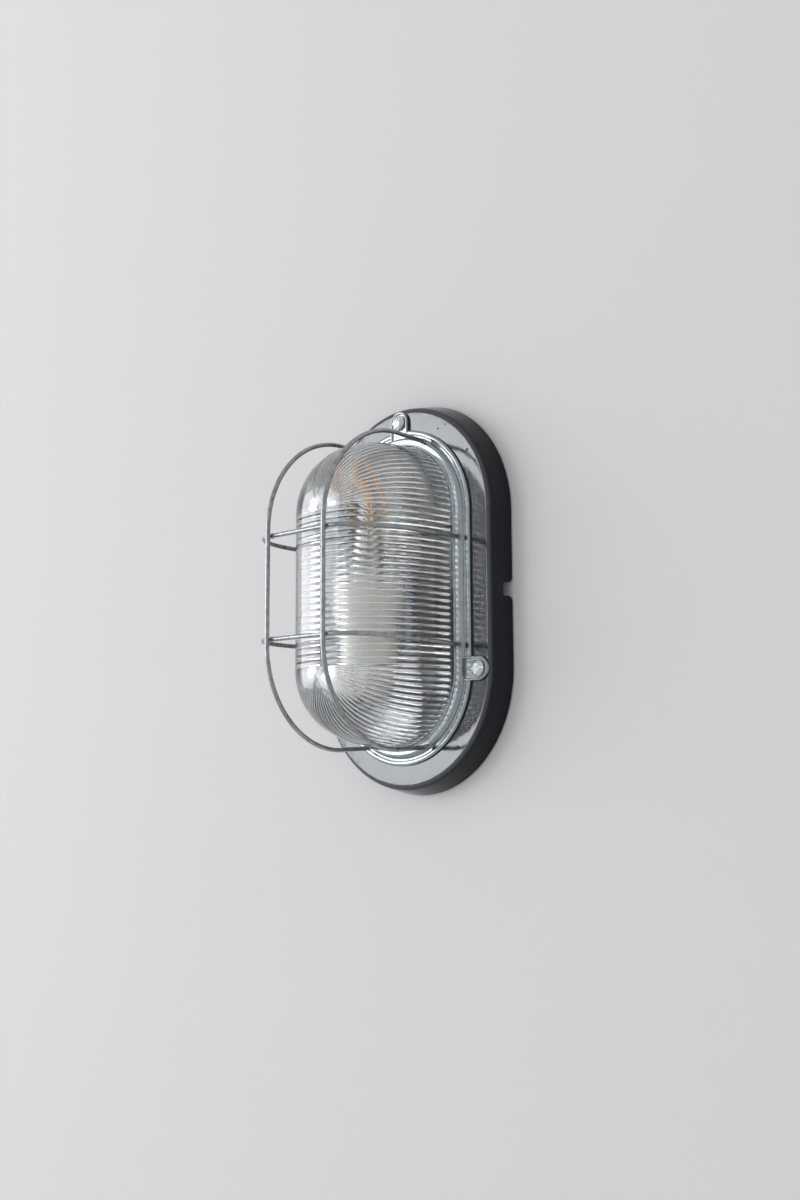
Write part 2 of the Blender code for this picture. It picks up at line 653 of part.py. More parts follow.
def make_ring(finishes):
    ring = oval_solid("ring", ring_section(), finishes["galvanised"], capped=False)
    pocket_root = EAR_OFFSET - RING_STEP_FOOT
    pocket = ear_outline(EAR_RADIUS - EAR_RIM_WIDTH / 2, pocket_root)
    pocket_floor = RING_FLOOR - EAR_POCKET_DEPTH
    places = list(ear_places().values())
    pockets = [extruded("pocket", pocket, RING_HALF_WIDTH, ear_place(x, z, angle, pocket_floor), None)
               for x, z, angle in places]
    boolean(ring, join("ear_pockets", pockets), "DIFFERENCE")
    boolean(ring, join("ears", [make_ear(*place) for place in places]), "UNION")
    holes = drill("ear_screw_holes", EAR_SCREW_RADIUS + SCREW_CLEARANCE, 0.0, CROWN_FRONT,
                  [(x, z) for x, z, _ in places])
    boolean(ring, holes, "DIFFERENCE")
    return ring


# Cage

def quarter_bend(leg, corner, front, corner_depth):
    """Points from the leg's bend to the flat front, on a quarter of an ellipse."""
    return [(leg - corner + corner * math.cos(math.pi / 2 * i / WIRE_CORNER_STEPS),
             front - corner_depth + corner_depth * math.sin(math.pi / 2 * i / WIRE_CORNER_STEPS))
            for i in range(WIRE_CORNER_STEPS + 1)]


def make_cage(finishes):
    front = CAGE_FRONT - WIRE_RADIUS
    weld_z = CORE_HALF_LENGTH + math.sqrt(WELD_HALF_WIDTH ** 2 - CAGE_WIRE_X ** 2)
    half = [(weld_z, WIRE_FOOT),
            *quarter_bend(weld_z + CAGE_LEG_BULGE, CAGE_CORNER_Z, front, CAGE_CORNER_DEPTH)]
    for side, x in (("left", -CAGE_WIRE_X), ("right", CAGE_WIRE_X)):
        path = [(x, -depth, z) for z, depth in half]
        path += [(x, -depth, -z) for z, depth in reversed(half)]
        tube_curve("cage_wire_" + side, path, WIRE_RADIUS, finishes["cage_wire"])

    hoop_front = front - 2 * WIRE_RADIUS - GAP
    hoop_leg = GLASS_HALF_WIDTH + HOOP_SIDE_CLEARANCE + WIRE_RADIUS
    half = [(WELD_HALF_WIDTH, WIRE_FOOT),
            *quarter_bend(hoop_leg, HOOP_CORNER_X, hoop_front, HOOP_CORNER_DEPTH)]
    for level, z, drop in (("upper", HOOP_Z, 0.0), ("lower", -HOOP_Z, LOWER_HOOP_RIGHT_DROP)):
        path = [(-x, -depth, z) for x, depth in half]
        for x, depth in reversed(half):
            fallen = drop * (hoop_front - depth) / (hoop_front - WIRE_FOOT)
            path.append((x, -depth, z - fallen))
        tube_curve("cage_hoop_" + level, path, WIRE_RADIUS, finishes["cage_wire"])


# Fasteners

def make_screw(name, radius, head_radius, head_height, length, place, material, slot_angle=0.0):
    """A slotted screw. Its own origin is under the head, and +Z points out of the head."""
    point = radius * SHANK_POINT_SHARE
    crown = (head_radius * HEAD_CROWN_RADIUS_SHARE, head_height * HEAD_CROWN_LEVEL_SHARE)
    edge = (head_radius, head_height * HEAD_EDGE_LEVEL_SHARE)
    profile = [(0.0, head_height), crown, edge, (head_radius, 0.0), (radius, 0.0),
               (radius, radius - point - length), (point, -length), (0.0, -length)]
    screw = turned(name, profile, material, SCREW_SIDES, place)
    half_slot = head_radius * SLOT_WIDTH_SHARE / 2
    outline = [(-2 * head_radius, -half_slot), (2 * head_radius, -half_slot),
               (2 * head_radius, half_slot), (-2 * head_radius, half_slot)]
    turn = Matrix.Rotation(math.radians(slot_angle), 4, "Z")
    lift = Matrix.Translation((0, 0, head_height * SLOT_DEPTH_SHARE))
    cutter = extruded(name + "_slot", outline, head_height, place @ turn @ lift, None)
    boolean(screw, cutter, "DIFFERENCE")
    return screw


def make_nut(name, width, thickness, bore, place, material):
    corner = width / math.sqrt(3)
    hexagon = [(corner * math.cos(math.tau * i / 6), corner * math.sin(math.tau * i / 6)) for i in range(6)]
    nut = extruded(name, hexagon, thickness, place, material)
    hole = turned(name + "_hole", rod(bore, -thickness, 2 * thickness), None, HOLE_SIDES, place)
    boolean(nut, hole, "DIFFERENCE")
    return nut


def make_through_fixing(name, x, z, head_back, radius, head, nut, material, slot_angle=0.0):
    """A screw from the front and its nut in the base's back hollow."""
    head_radius, head_height = head
    nut_width, nut_thickness = nut
    nut_front = BACK_HOLLOW_DEPTH - GAP
    tail = nut_front - nut_thickness - SCREW_TAIL
    make_screw(name + "_screw", radius, head_radius, head_height, head_back - tail,
               facing_out(x, head_back, z), material, slot_angle)
    make_nut(name + "_nut", nut_width, nut_thickness, radius + SCREW_CLEARANCE,
             facing_out(x, nut_front - nut_thickness, z), material)


def make_ear_fixings(finishes):
    slots = {"top": 40.0, "lower_left": 15.0, "lower_right": 4.0}
    for name, (x, z, _) in ear_places().items():
        make_through_fixing("ring_" + name, x, z, EAR_FRONT + GAP, EAR_SCREW_RADIUS,
                            (EAR_SCREW_HEAD_RADIUS, EAR_SCREW_HEAD_HEIGHT),
                            (EAR_NUT_WIDTH, EAR_NUT_THICKNESS), finishes["zinc"], slots[name])


# Lampholder

def make_lampholder(finishes):
    waist_top = HOLDER_MOUTH_Z - HOLDER_SKIRT_LENGTH
    profile = [
        (0.0, HOLDER_FLOOR_Z),
        (HOLDER_BORE_RADIUS, HOLDER_FLOOR_Z),
        (HOLDER_BORE_RADIUS, HOLDER_MOUTH_Z),
        (HOLDER_SKIRT_RADIUS - HOLDER_EDGE, HOLDER_MOUTH_Z),
        (HOLDER_SKIRT_RADIUS, HOLDER_MOUTH_Z - HOLDER_EDGE),
        (HOLDER_SKIRT_RADIUS, waist_top + HOLDER_EDGE),
        (HOLDER_SKIRT_RADIUS - HOLDER_EDGE, waist_top),
        (HOLDER_WAIST_RADIUS, waist_top - HOLDER_EDGE),
        (HOLDER_WAIST_RADIUS, HOLDER_FOOT_Z + HOLDER_EDGE),
        (HOLDER_WAIST_RADIUS - HOLDER_EDGE, HOLDER_FOOT_Z),
        (0.0, HOLDER_FOOT_Z),
    ]
    body = turned("lampholder_body", profile, finishes["white_porcelain"], TURNED_SIDES, on_lamp_axis(0.0))
    entry_z = HOLDER_FOOT_Z + LEAD_ENTRY_ABOVE_FOOT
    surface = LAMP_AXIS_DEPTH - math.sqrt(HOLDER_WAIST_RADIUS ** 2 - LEAD_ENTRY_X ** 2)
    entries = drill("lead_entries", LEAD_HOLE_RADIUS, FLOOR_FRONT, surface + LEAD_ENTRY_DEPTH,
                    [(-LEAD_ENTRY_X, entry_z), (LEAD_ENTRY_X, entry_z)])
    boolean(body, entries, "DIFFERENCE")
    places = [on_lamp_axis(HOLDER_FOOT_Z) @ Matrix.Translation((x, 0, 0)) for x in holder_screw_offsets()]
    taps = [turned("tap", rod(SMALL_SCREW_RADIUS + SCREW_CLEARANCE, -GAP, HOLDER_SCREW_LENGTH), None,
                   HOLE_SIDES, place) for place in places]
    boolean(body, join("holder_taps", taps), "DIFFERENCE")

    outer = HOLDER_BORE_RADIUS - GAP
    inner = outer - SHELL_THICKNESS
    top = HOLDER_MOUTH_Z - HOLDER_EDGE
    shell = [(inner, top - SHELL_LENGTH), (outer, top - SHELL_LENGTH), (outer, top), (inner, top)]
    turned("lampholder_shell", shell, finishes["brass"], TURNED_SIDES, on_lamp_axis(0.0), ring=True)

    tip_z = CAP_FOOT_Z - INSULATOR_HEIGHT - TIP_HEIGHT - 2 * GAP
    rise = tip_z - HOLDER_FLOOR_Z - 2 * GAP - CONTACT_THICKNESS
    thick, lean = CONTACT_THICKNESS, CONTACT_LEAN
    outline = [(-CONTACT_FOOT, 0.0), (thick, 0.0), (lean + thick, rise + thick),
               (lean - CONTACT_LEAF, rise + thick), (lean - CONTACT_LEAF, rise), (lean - thick, rise),
               (0.0, thick), (-CONTACT_FOOT, thick)]
    place = Matrix(((1, 0, 0, 0.0), (0, 0, -1, -LAMP_AXIS_DEPTH + CONTACT_WIDTH / 2),
                    (0, 1, 0, HOLDER_FLOOR_Z + GAP), (0, 0, 0, 1)))
    extruded("lampholder_centre_contact", outline, CONTACT_WIDTH, place, finishes["brass"])


def holder_screw_offsets():
    return (-HOLDER_SCREW_SPREAD, HOLDER_SCREW_SPREAD)


def make_bracket(finishes):
    """A folded strip: a foot on the floor of the well, a bend, and a leg under the lampholder."""
    back = FLOOR_FRONT + GAP
    leg_top = HOLDER_FOOT_Z - GAP
    bend = BRACKET_BEND
    reach = LAMP_AXIS_DEPTH + BRACKET_REACH
    foot_end = leg_top - BRACKET_SHEET - bend - BRACKET_FOOT
    outer = arc((back + bend + BRACKET_SHEET, leg_top - BRACKET_SHEET - bend), bend + BRACKET_SHEET,
                180.0, 90.0, 4)
    inner = arc((back + bend + BRACKET_SHEET, leg_top - BRACKET_SHEET - bend), bend, 90.0, 180.0, 4)
    outline = [(back, foot_end), *outer, (reach, leg_top), (reach, leg_top - BRACKET_SHEET), *inner,
               (back + BRACKET_SHEET, foot_end)]
    place = Matrix(((0, 0, 1, -BRACKET_WIDTH / 2), (-1, 0, 0, 0), (0, 1, 0, 0), (0, 0, 0, 1)))
    bracket = extruded("lampholder_bracket", outline, BRACKET_WIDTH, place, finishes["zinc"])
    holes = drill("bracket_foot_holes", SMALL_SCREW_RADIUS + SCREW_CLEARANCE, 0.0, back + 2 * BRACKET_SHEET,
                  bracket_screw_places().values())
    boolean(bracket, holes, "DIFFERENCE")
    taps = [turned("tap", rod(SMALL_SCREW_RADIUS + SCREW_CLEARANCE, -2 * BRACKET_SHEET, BRACKET_SHEET), None,
                   HOLE_SIDES, on_lamp_axis(leg_top) @ Matrix.Translation((x, 0, 0)))
            for x in holder_screw_offsets()]
    boolean(bracket, join("bracket_leg_holes", taps), "DIFFERENCE")

    head = (SMALL_SCREW_HEAD_RADIUS, SMALL_SCREW_HEAD_HEIGHT)
    nut = (SMALL_NUT_WIDTH, SMALL_NUT_THICKNESS)
    for side, (x, z) in bracket_screw_places().items():
        make_through_fixing("bracket_" + side, x, z, back + BRACKET_SHEET + GAP, SMALL_SCREW_RADIUS,
                            head, nut, finishes["zinc"], 30.0)
    under = leg_top - BRACKET_SHEET - GAP
    turn = Matrix.Rotation(math.pi, 4, "X")
    for side, x in zip(("left", "right"), holder_screw_offsets()):
        place = on_lamp_axis(under) @ Matrix.Translation((x, 0, 0)) @ turn
        make_screw("lampholder_" + side + "_screw", SMALL_SCREW_RADIUS, SMALL_SCREW_HEAD_RADIUS,
                   SMALL_SCREW_HEAD_HEIGHT, HOLDER_SCREW_LENGTH, place, finishes["zinc"], 70.0)


# Bulb

def bulb_radius(z, inset):
    """The bulb's outline: a straight neck that swells into a globe, at a distance inside its surface."""
    if z >= GLOBE_Z:
        return math.sqrt(max(0.0, (BULB_RADIUS - inset) ** 2 - (z - GLOBE_Z) ** 2))
    share = max(0.0, (z - CAP_TOP_Z) / (GLOBE_Z - CAP_TOP_Z))
    swell = math.sin(share * math.pi / 2) ** 2
    return BULB_NECK_RADIUS + (BULB_RADIUS - BULB_NECK_RADIUS) * swell - inset


def bulb_profile(inset):
    bottom = CAP_TOP_Z - BULB_NECK_DIP
    points = [(bulb_radius(bottom, inset), bottom)]
    for i in range(BULB_ROWS):
        z = CAP_TOP_Z + (GLOBE_Z - CAP_TOP_Z) * i / BULB_ROWS
        points.append((bulb_radius(z, inset), z))
    for i in range(BULB_ROWS):
        turn = math.pi / 2 * i / BULB_ROWS
        reach = BULB_RADIUS - inset
        points.append((reach * math.cos(turn), GLOBE_Z + reach * math.sin(turn)))
    points.append((0.0, GLOBE_Z + BULB_RADIUS - inset))
    return points


def make_bulb(finishes):
    profile = [*reversed(bulb_profile(0.0)), *bulb_profile(BULB_GLASS)]
    turned("bulb_glass", profile, finishes["clear_glass"], TURNED_SIDES, on_lamp_axis(0.0))

    inner = CAP_RADIUS - CAP_WALL
    shoulder_z = CAP_FOOT_Z + CAP_SHOULDER
    mouth = INSULATOR_RADIUS - CAP_SHOULDER
    cap = [(CAP_RADIUS, CAP_TOP_Z), (CAP_RADIUS, shoulder_z), (INSULATOR_RADIUS, CAP_FOOT_Z),
           (mouth, CAP_FOOT_Z), (mouth, CAP_FOOT_Z + CAP_WALL), (INSULATOR_RADIUS, CAP_FOOT_Z + CAP_WALL),
           (inner, shoulder_z), (inner, CAP_TOP_Z)]
    turned("bulb_cap", cap, finishes["zinc"], TURNED_SIDES, on_lamp_axis(0.0), ring=True)

    top = CAP_FOOT_Z - GAP
    insulator = [(0.0, top), (INSULATOR_RADIUS, top), (TIP_RADIUS, top - INSULATOR_HEIGHT),
                 (0.0, top - INSULATOR_HEIGHT)]
    turned("bulb_insulator", insulator, finishes["black_vitrite"], HOLE_SIDES, on_lamp_axis(0.0))
    top = top - INSULATOR_HEIGHT - GAP
    tip = [(0.0, top), (TIP_RADIUS, top), (TIP_CROWN_RADIUS, top - TIP_HEIGHT), (0.0, top - TIP_HEIGHT)]
    turned("bulb_tip", tip, finishes["brass"], HOLE_SIDES, on_lamp_axis(0.0))

    foot_z = CAP_TOP_Z - BULB_NECK_DIP
    stem = [(0.0, foot_z + STEM_LENGTH), (STEM_RADIUS, foot_z + STEM_LENGTH - STEM_RADIUS),
            (STEM_RADIUS, foot_z + STEM_NECK_LEVEL), (STEM_FLARE_RADIUS, foot_z + STEM_FLARE_LEVEL),
            (STEM_FOOT_RADIUS, foot_z), (0.0, foot_z)]
    turned("bulb_stem", stem, finishes["clear_glass"], HOLE_SIDES, on_lamp_axis(0.0))

    hub_z = foot_z + STEM_LENGTH + GAP
    make_filaments(finishes, hub_z)


def make_filaments(finishes, hub_z):
    """A wire spider on the stem, with arms below and above that hold four glowing rods."""
    half = SPIDER_HALF_WIDTH
    top_z = hub_z + 4 * half + FILAMENT_LENGTH + 2 * GAP
    bm = bmesh.new()
    levels = [hub_z, hub_z + 2 * half, top_z, top_z + 2 * half]
    loops = [[bm.verts.new((half * x, half * y, z)) for x, y in ((-1, -1), (1, -1), (1, 1), (-1, 1))]
             for z in levels]
    loft(bm, loops)
    bm.faces.new(loops[0])
    bm.faces.new(loops[-1])
    bmesh.ops.recalc_face_normals(bm, faces=bm.faces)
    for low, spread in ((hub_z, FILAMENT_FOOT_SPREAD), (top_z, FILAMENT_TOP_SPREAD)):
        arms = [face for face in bm.faces if abs(face.normal.z) < 0.5
                and abs(face.calc_center_median().z - low - half) < half / 2]
        for face in arms:
            outward = face.normal.copy()
            grown = bmesh.ops.extrude_discrete_faces(bm, faces=[face])
            bmesh.ops.translate(bm, vec=outward * spread, verts=grown["faces"][0].verts)
    bmesh.ops.transform(bm, matrix=on_lamp_axis(0.0) @ Matrix.Rotation(math.pi / 4, 4, "Z"), verts=bm.verts)
    to_object("filament_spider", bm, finishes["zinc"])

    for i in range(4):
        angle = math.pi / 4 + math.pi / 2 * i
        out = Vector((math.cos(angle), math.sin(angle), 0.0))
        axis = Vector((0.0, -LAMP_AXIS_DEPTH, 0.0))
        foot = axis + out * FILAMENT_FOOT_SPREAD + Vector((0, 0, hub_z + 2 * half + 2 * GAP))
        head = axis + out * FILAMENT_TOP_SPREAD + Vector((0, 0, top_z - 2 * GAP))
        tube_curve("filament_" + str(i + 1), [foot, head], FILAMENT_RADIUS, finishes["filament"])


# Terminal block and leads

def make_terminal_block(finishes):
    half = WAY_PITCH / 2 + BLOCK_SIDE
    front = BLOCK_BACK + BLOCK_HEIGHT
    middle = front - BLOCK_CHANNEL_DEPTH
    channel = BLOCK_SCREW_HEAD_RADIUS + BLOCK_CHANNEL_CLEARANCE
    outline = [(-half, BLOCK_BACK), (half, BLOCK_BACK), (half, middle), (half - BLOCK_TOP_INSET, front),
               (channel, front), (channel, middle), (-channel, middle), (-channel, front),
               (BLOCK_TOP_INSET - half, front), (-half, middle)]
    place = Matrix(((1, 0, 0, 0), (0, -1, 0, 0), (0, 0, 1, BLOCK_Z - BLOCK_LENGTH / 2), (0, 0, 0, 1)))
    block = extruded("terminal_block", outline, BLOCK_LENGTH, place, finishes["white_porcelain"])
    tube_axis = BLOCK_BACK + TUBE_DEPTH
    clamp_z = (BLOCK_Z - CLAMP_SCREW_SPREAD, BLOCK_Z + CLAMP_SCREW_SPREAD)
    ways = way_places()
    bores = [turned("bore", rod(TUBE_RADIUS + GAP, -BLOCK_LENGTH, BLOCK_LENGTH), None, HOLE_SIDES,
                    Matrix.Translation((x, -tube_axis, BLOCK_Z))) for x in ways.values()]
    boolean(block, join("way_bores", bores), "DIFFERENCE")
    clamps = [(x, z) for x in ways.values() for z in clamp_z]
    wells = drill("clamp_wells", CLAMP_SCREW_RADIUS + GAP, tube_axis, front + GAP, clamps)
    boolean(block, wells, "DIFFERENCE")
    bore = BLOCK_SCREW_RADIUS + SCREW_CLEARANCE
    boolean(block, drill("block_fixing_hole", bore, 0.0, front, [(0.0, BLOCK_Z)]), "DIFFERENCE")

    for side, x in ways.items():
        section = [(TUBE_BORE_RADIUS, -TUBE_LENGTH / 2), (TUBE_RADIUS, -TUBE_LENGTH / 2),
                   (TUBE_RADIUS, TUBE_LENGTH / 2), (TUBE_BORE_RADIUS, TUBE_LENGTH / 2)]
        tube = turned("terminal_tube_" + side, section, finishes["brass"], HOLE_SIDES,
                      Matrix.Translation((x, -tube_axis, BLOCK_Z)), ring=True)
        boolean(tube, drill(side + "_tube_taps", CLAMP_SCREW_RADIUS + GAP, tube_axis, front,
                            [(x, z) for z in clamp_z]), "DIFFERENCE")
        for level, z in zip(("lower", "upper"), clamp_z):
            head_back = front - GAP - CLAMP_SCREW_RADIUS
            make_screw("clamp_screw_" + side + "_" + level, CLAMP_SHANK_RADIUS, CLAMP_SCREW_RADIUS,
                       CLAMP_SCREW_RADIUS, head_back - tube_axis, facing_out(x, head_back, z),
                       finishes["zinc"], 20.0)
    head = (BLOCK_SCREW_HEAD_RADIUS, BLOCK_SCREW_HEAD_HEIGHT)
    nut = (BLOCK_NUT_WIDTH, BLOCK_NUT_THICKNESS)
    make_through_fixing("block", 0.0, BLOCK_Z, middle + GAP, BLOCK_SCREW_RADIUS, head, nut, finishes["zinc"])


def make_leads(finishes):
    """Each lead leaves its terminal tube, runs along the floor and turns up into the lampholder."""
    tube_axis = BLOCK_BACK + TUBE_DEPTH
    start_z = BLOCK_Z - CLAMP_SCREW_SPREAD - CLAMP_SCREW_RADIUS - 2 * GAP
    entry_z = HOLDER_FOOT_Z + LEAD_ENTRY_ABOVE_FOOT
    run = FLOOR_FRONT + GAP + LEAD_RADIUS
    surface = LAMP_AXIS_DEPTH - math.sqrt(HOLDER_WAIST_RADIUS ** 2 - LEAD_ENTRY_X ** 2)
    end = surface + LEAD_ENTRY_DEPTH - GAP
    for side, way, colour in (("left", -1, "lead_brown"), ("right", 1, "lead_blue")):
        x0, x1 = way * WAY_PITCH / 2, way * LEAD_ENTRY_X
        leave_z = BLOCK_Z - BLOCK_LENGTH / 2
        route = [Vector((x0, -tube_axis, start_z)), Vector((x0, -tube_axis, leave_z))]
        low = Vector((x0, -run, leave_z - 2 * LEAD_BEND))
        for i in range(1, LEAD_BEND_STEPS + 1):
            share = i / LEAD_BEND_STEPS
            ease = share * share * (3 - 2 * share)
            route.append(route[1].lerp(low, share) * Vector((1, 0, 1)) +
                         Vector((0, -tube_axis + (tube_axis - run) * ease, 0)))
        return_z = entry_z + LEAD_BEND
        route.append(Vector(((x0 + x1) / 2, -run, (low.z + return_z) / 2)))
        centre = Vector((x1, -run - LEAD_BEND, return_z))
        for i in range(LEAD_BEND_STEPS + 1):
            turn = math.pi / 2 * i / LEAD_BEND_STEPS
            route.append(centre + LEAD_BEND * Vector((0, math.cos(turn), -math.sin(turn))))
        route.append(Vector((x1, -end, entry_z)))
        tube_curve("lead_" + side, route, LEAD_RADIUS, finishes[colour])


def make_grommet(finishes):
    waist = CABLE_HOLE_RADIUS - GAP
    back = BACK_HOLLOW_DEPTH - GAP
    front = FLOOR_FRONT + GAP
    rounded = GROMMET_FLANGE_RADIUS - GROMMET_FLANGE / 2
    section = [
        (GROMMET_BORE_RADIUS, back - GROMMET_FLANGE),
        (rounded, back - GROMMET_FLANGE),
        (GROMMET_FLANGE_RADIUS, back - GROMMET_FLANGE / 2),
        (GROMMET_FLANGE_RADIUS, back),
        (waist, back),
        (waist, front),
        (GROMMET_FLANGE_RADIUS, front),
        (GROMMET_FLANGE_RADIUS, front + GROMMET_FLANGE / 2),
        (rounded, front + GROMMET_FLANGE),
        (GROMMET_BORE_RADIUS, front + GROMMET_FLANGE),
    ]
    place = facing_out(0.0, 0.0, CABLE_HOLE_Z)
    turned("cable_grommet", section, finishes["rubber"], HOLE_SIDES, place, ring=True)


def main():
    for piece in list(bpy.data.objects):
        bpy.data.objects.remove(piece)
    finishes = make_finishes()
    make_base(finishes)
    make_gasket(finishes)
    make_glass(finishes)
    make_ring(finishes)
    make_cage(finishes)
    make_ear_fixings(finishes)
    make_lampholder(finishes)
    make_bracket(finishes)
    make_bulb(finishes)
    make_terminal_block(finishes)
    make_leads(finishes)
    make_grommet(finishes)


main()
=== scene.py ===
# Looks for an oval bulkhead wall light: black glazed porcelain base, ribbed glass dome, pressed and
# galvanised clamping ring with a welded wire cage, and a clear filament bulb in a porcelain lampholder.
#
# Metres, +Z up. The wall is the plane y = 0 and the light stands out of it towards -Y. "Depth" is the
# distance out from the wall, so a point's y is minus its depth. Base, gasket, glass and ring follow one
# oval: two half circles joined by straight sides, at a given half width from a straight core on the Z axis.

import math

import bmesh
import bpy
from mathutils import Matrix, Vector


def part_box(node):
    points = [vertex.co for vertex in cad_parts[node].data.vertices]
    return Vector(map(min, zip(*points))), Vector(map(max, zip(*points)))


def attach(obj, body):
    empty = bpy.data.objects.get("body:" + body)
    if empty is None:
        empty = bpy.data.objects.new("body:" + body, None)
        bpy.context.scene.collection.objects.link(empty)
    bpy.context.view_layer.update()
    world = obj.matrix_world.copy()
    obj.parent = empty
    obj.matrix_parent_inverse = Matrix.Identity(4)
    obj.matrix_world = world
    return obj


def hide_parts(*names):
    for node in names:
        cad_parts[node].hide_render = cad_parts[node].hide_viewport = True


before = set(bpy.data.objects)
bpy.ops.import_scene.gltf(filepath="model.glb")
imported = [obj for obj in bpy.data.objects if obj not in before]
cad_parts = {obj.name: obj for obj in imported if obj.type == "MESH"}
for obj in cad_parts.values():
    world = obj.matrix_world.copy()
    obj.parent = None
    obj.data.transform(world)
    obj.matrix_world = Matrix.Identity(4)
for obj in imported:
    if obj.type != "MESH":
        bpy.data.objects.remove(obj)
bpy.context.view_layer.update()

MM = 0.001


def half_width_of(node):
    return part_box(node)[1].x


def back_of(node):
    return -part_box(node)[1].y


def front_of(node):
    return -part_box(node)[0].y


def middle_z(node):
    low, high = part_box(node)
    return (low.z + high.z) / 2


# Ears of the clamping ring, and the heads of their screws
EAR_RADIUS = 7.7 * MM
EAR_ROOT = 0.45 * MM
EAR_SINK = 0.05 * MM
EAR_THICKNESS = 1.0 * MM
EAR_RIM = 1.9 * MM
EAR_RIM_HEIGHT = 1.2 * MM
EAR_POCKET_INSET = 0.95 * MM
EAR_POCKET_DEPTH = 0.3 * MM
EAR_HOLE = 2.85 * MM
EAR_HEAD = 5.2 * MM
LOWER_EAR_DROP = 1.0 * MM

# Sizes taken from the frame
BASE_HALF = half_width_of("base")
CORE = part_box("base")[1].z - BASE_HALF
BASE_DEPTH = front_of("base")
GLASS_FLANGE_HALF = half_width_of("glass")
GLASS_BACK = back_of("glass")
GLASS_FRONT = front_of("glass")
GASKET_HALF = half_width_of("gasket")
EAR_OFFSET = half_width_of("ring_lower_right_screw") - EAR_HEAD
RING_BACK = back_of("ring") + EAR_SINK
CAGE_FRONT = front_of("cage_wire_left")
AXIS_DEPTH = (back_of("bulb_glass") + front_of("bulb_glass")) / 2
GLOBE_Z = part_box("bulb_glass")[1].z - half_width_of("bulb_glass")
HOLDER_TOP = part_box("lampholder_body")[1].z
HOLDER_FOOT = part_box("lampholder_body")[0].z
BRACKET_SCREW_Z = middle_z("bracket_left_screw")
BLOCK_Z = middle_z("block_screw")
CABLE_HOLE_Z = middle_z("cable_grommet")

# Porcelain base
BASE_DRAFT = 4.2 * MM
BASE_RIM = 2.6 * MM
HOLLOW_HALF = BASE_HALF - 7.2 * MM
HOLLOW_DEPTH = 6.5 * MM
HOLLOW_DRAFT = 0.8 * MM
FLOOR = 11.0 * MM
SEAT = 15.0 * MM
SEAT_HALF = 54.1 * MM
WELL_HALF = 43.5 * MM
WELL_DRAFT = 1.2 * MM

# Bosses and holes through the base, as radii
WALL_FIXINGS = [(33.0 * MM, 40.0 * MM), (-33.0 * MM, -40.0 * MM)]
WALL_BOSS = 7.0 * MM
WALL_HOLE = 2.75 * MM
BRACKET_SCREW_X = 7.0 * MM
BRACKET_HOLE = 2.35 * MM
BLOCK_HOLE = 1.85 * MM
CABLE_HOLE = 7.0 * MM

# Cable notch in the right side of the base's foot
NOTCH_HALF = 4.2 * MM
NOTCH_FLARE = 4.2 * MM
NOTCH_CORNER = 1.4 * MM
NOTCH_DEPTH = 7.2 * MM
NOTCH_REACH = 15.0 * MM
NOTCH_Z = -1.5 * MM

# Pits in the glaze of the front face, each with its x, z and radius. Their depth is a share of the relief.
PIT_DEPTH = 4.0
PITS = [
    (58.6 * MM, 88.6 * MM, 1.0 * MM),
    (33.8 * MM, 107.0 * MM, 0.7 * MM),
    (40.0 * MM, 108.4 * MM, 0.5 * MM),
]

# Glass dome with ribs on its inner face
GLASS_HALF = 49.4 * MM
GLASS_FLANGE = 3.0 * MM
GLASS_WALL = 3.3 * MM
SIDE_POWER = 3.0
CROWN_POWER = 2.6
RIBS = 124
RIB_SAMPLES = 8
RIB_HEIGHT = 1.1 * MM
RIB_FADE = 28.0 * MM
RIB_RUN_OUT = 1.5 * MM
ROW_BIAS = 1.5

# Clamping ring
SHEET = 0.9 * MM
RING_BORE = 50.0 * MM
CROWN_HALF = 55.0 * MM
STEP_FOOT = 55.9 * MM
RING_HALF = 61.2 * MM
RING_FLOOR = RING_BACK + SHEET
CROWN_FRONT = 21.5 * MM
LIP = 1.4 * MM
LIP_HEIGHT = 0.8 * MM
EDGE = 3.5 * MM
EDGE_HEIGHT = 0.9 * MM

# Wire cage
WIRE = 1.4 * MM
COAT = 0.06 * MM
COAT_ROOM = 0.10 * MM
COAT_UNEVENNESS = 0.16 * MM
WIRE_X = 25.6 * MM
WELD_HALF = 55.5 * MM
WIRE_FOOT = 22.2 * MM
LEG_BULGE = 1.5 * MM
CORNER_Z = 65.0 * MM
CORNER_DEPTH = 61.0 * MM
UPRIGHT_WELD = 2.0 * MM
HOOP_Z = 32.4 * MM
HOOP_SIDE_GAP = 2.7 * MM
HOOP_GAP = 0.3 * MM
HOOP_CORNER_X = 26.5 * MM
HOOP_CORNER_DEPTH = 46.0 * MM
HOOP_WELD = 1.9 * MM
LOWER_HOOP_DROP = 3.2 * MM

# Screws, as shank radius, head radius, head height and thread pitch, and nuts, as width and bore radius
EAR_SCREW = (2.5 * MM, EAR_HEAD, 3.2 * MM, 0.8 * MM)
SMALL_SCREW = (2.0 * MM, 3.9 * MM, 2.4 * MM, 0.7 * MM)
BLOCK_SCREW = (1.5 * MM, 2.8 * MM, 1.8 * MM, 0.5 * MM)
EAR_NUT = (8.0 * MM, 2.7 * MM)
SMALL_NUT = (7.0 * MM, 2.2 * MM)
BLOCK_NUT = (5.5 * MM, 1.7 * MM)

# Filaments, which lean in from their feet to their heads
FILAMENT = 1.1 * MM
FILAMENT_FOOT = 12.0 * MM
FILAMENT_HEAD = 6.0 * MM
FILAMENT_INSET = 0.3 * MM


# Node trees

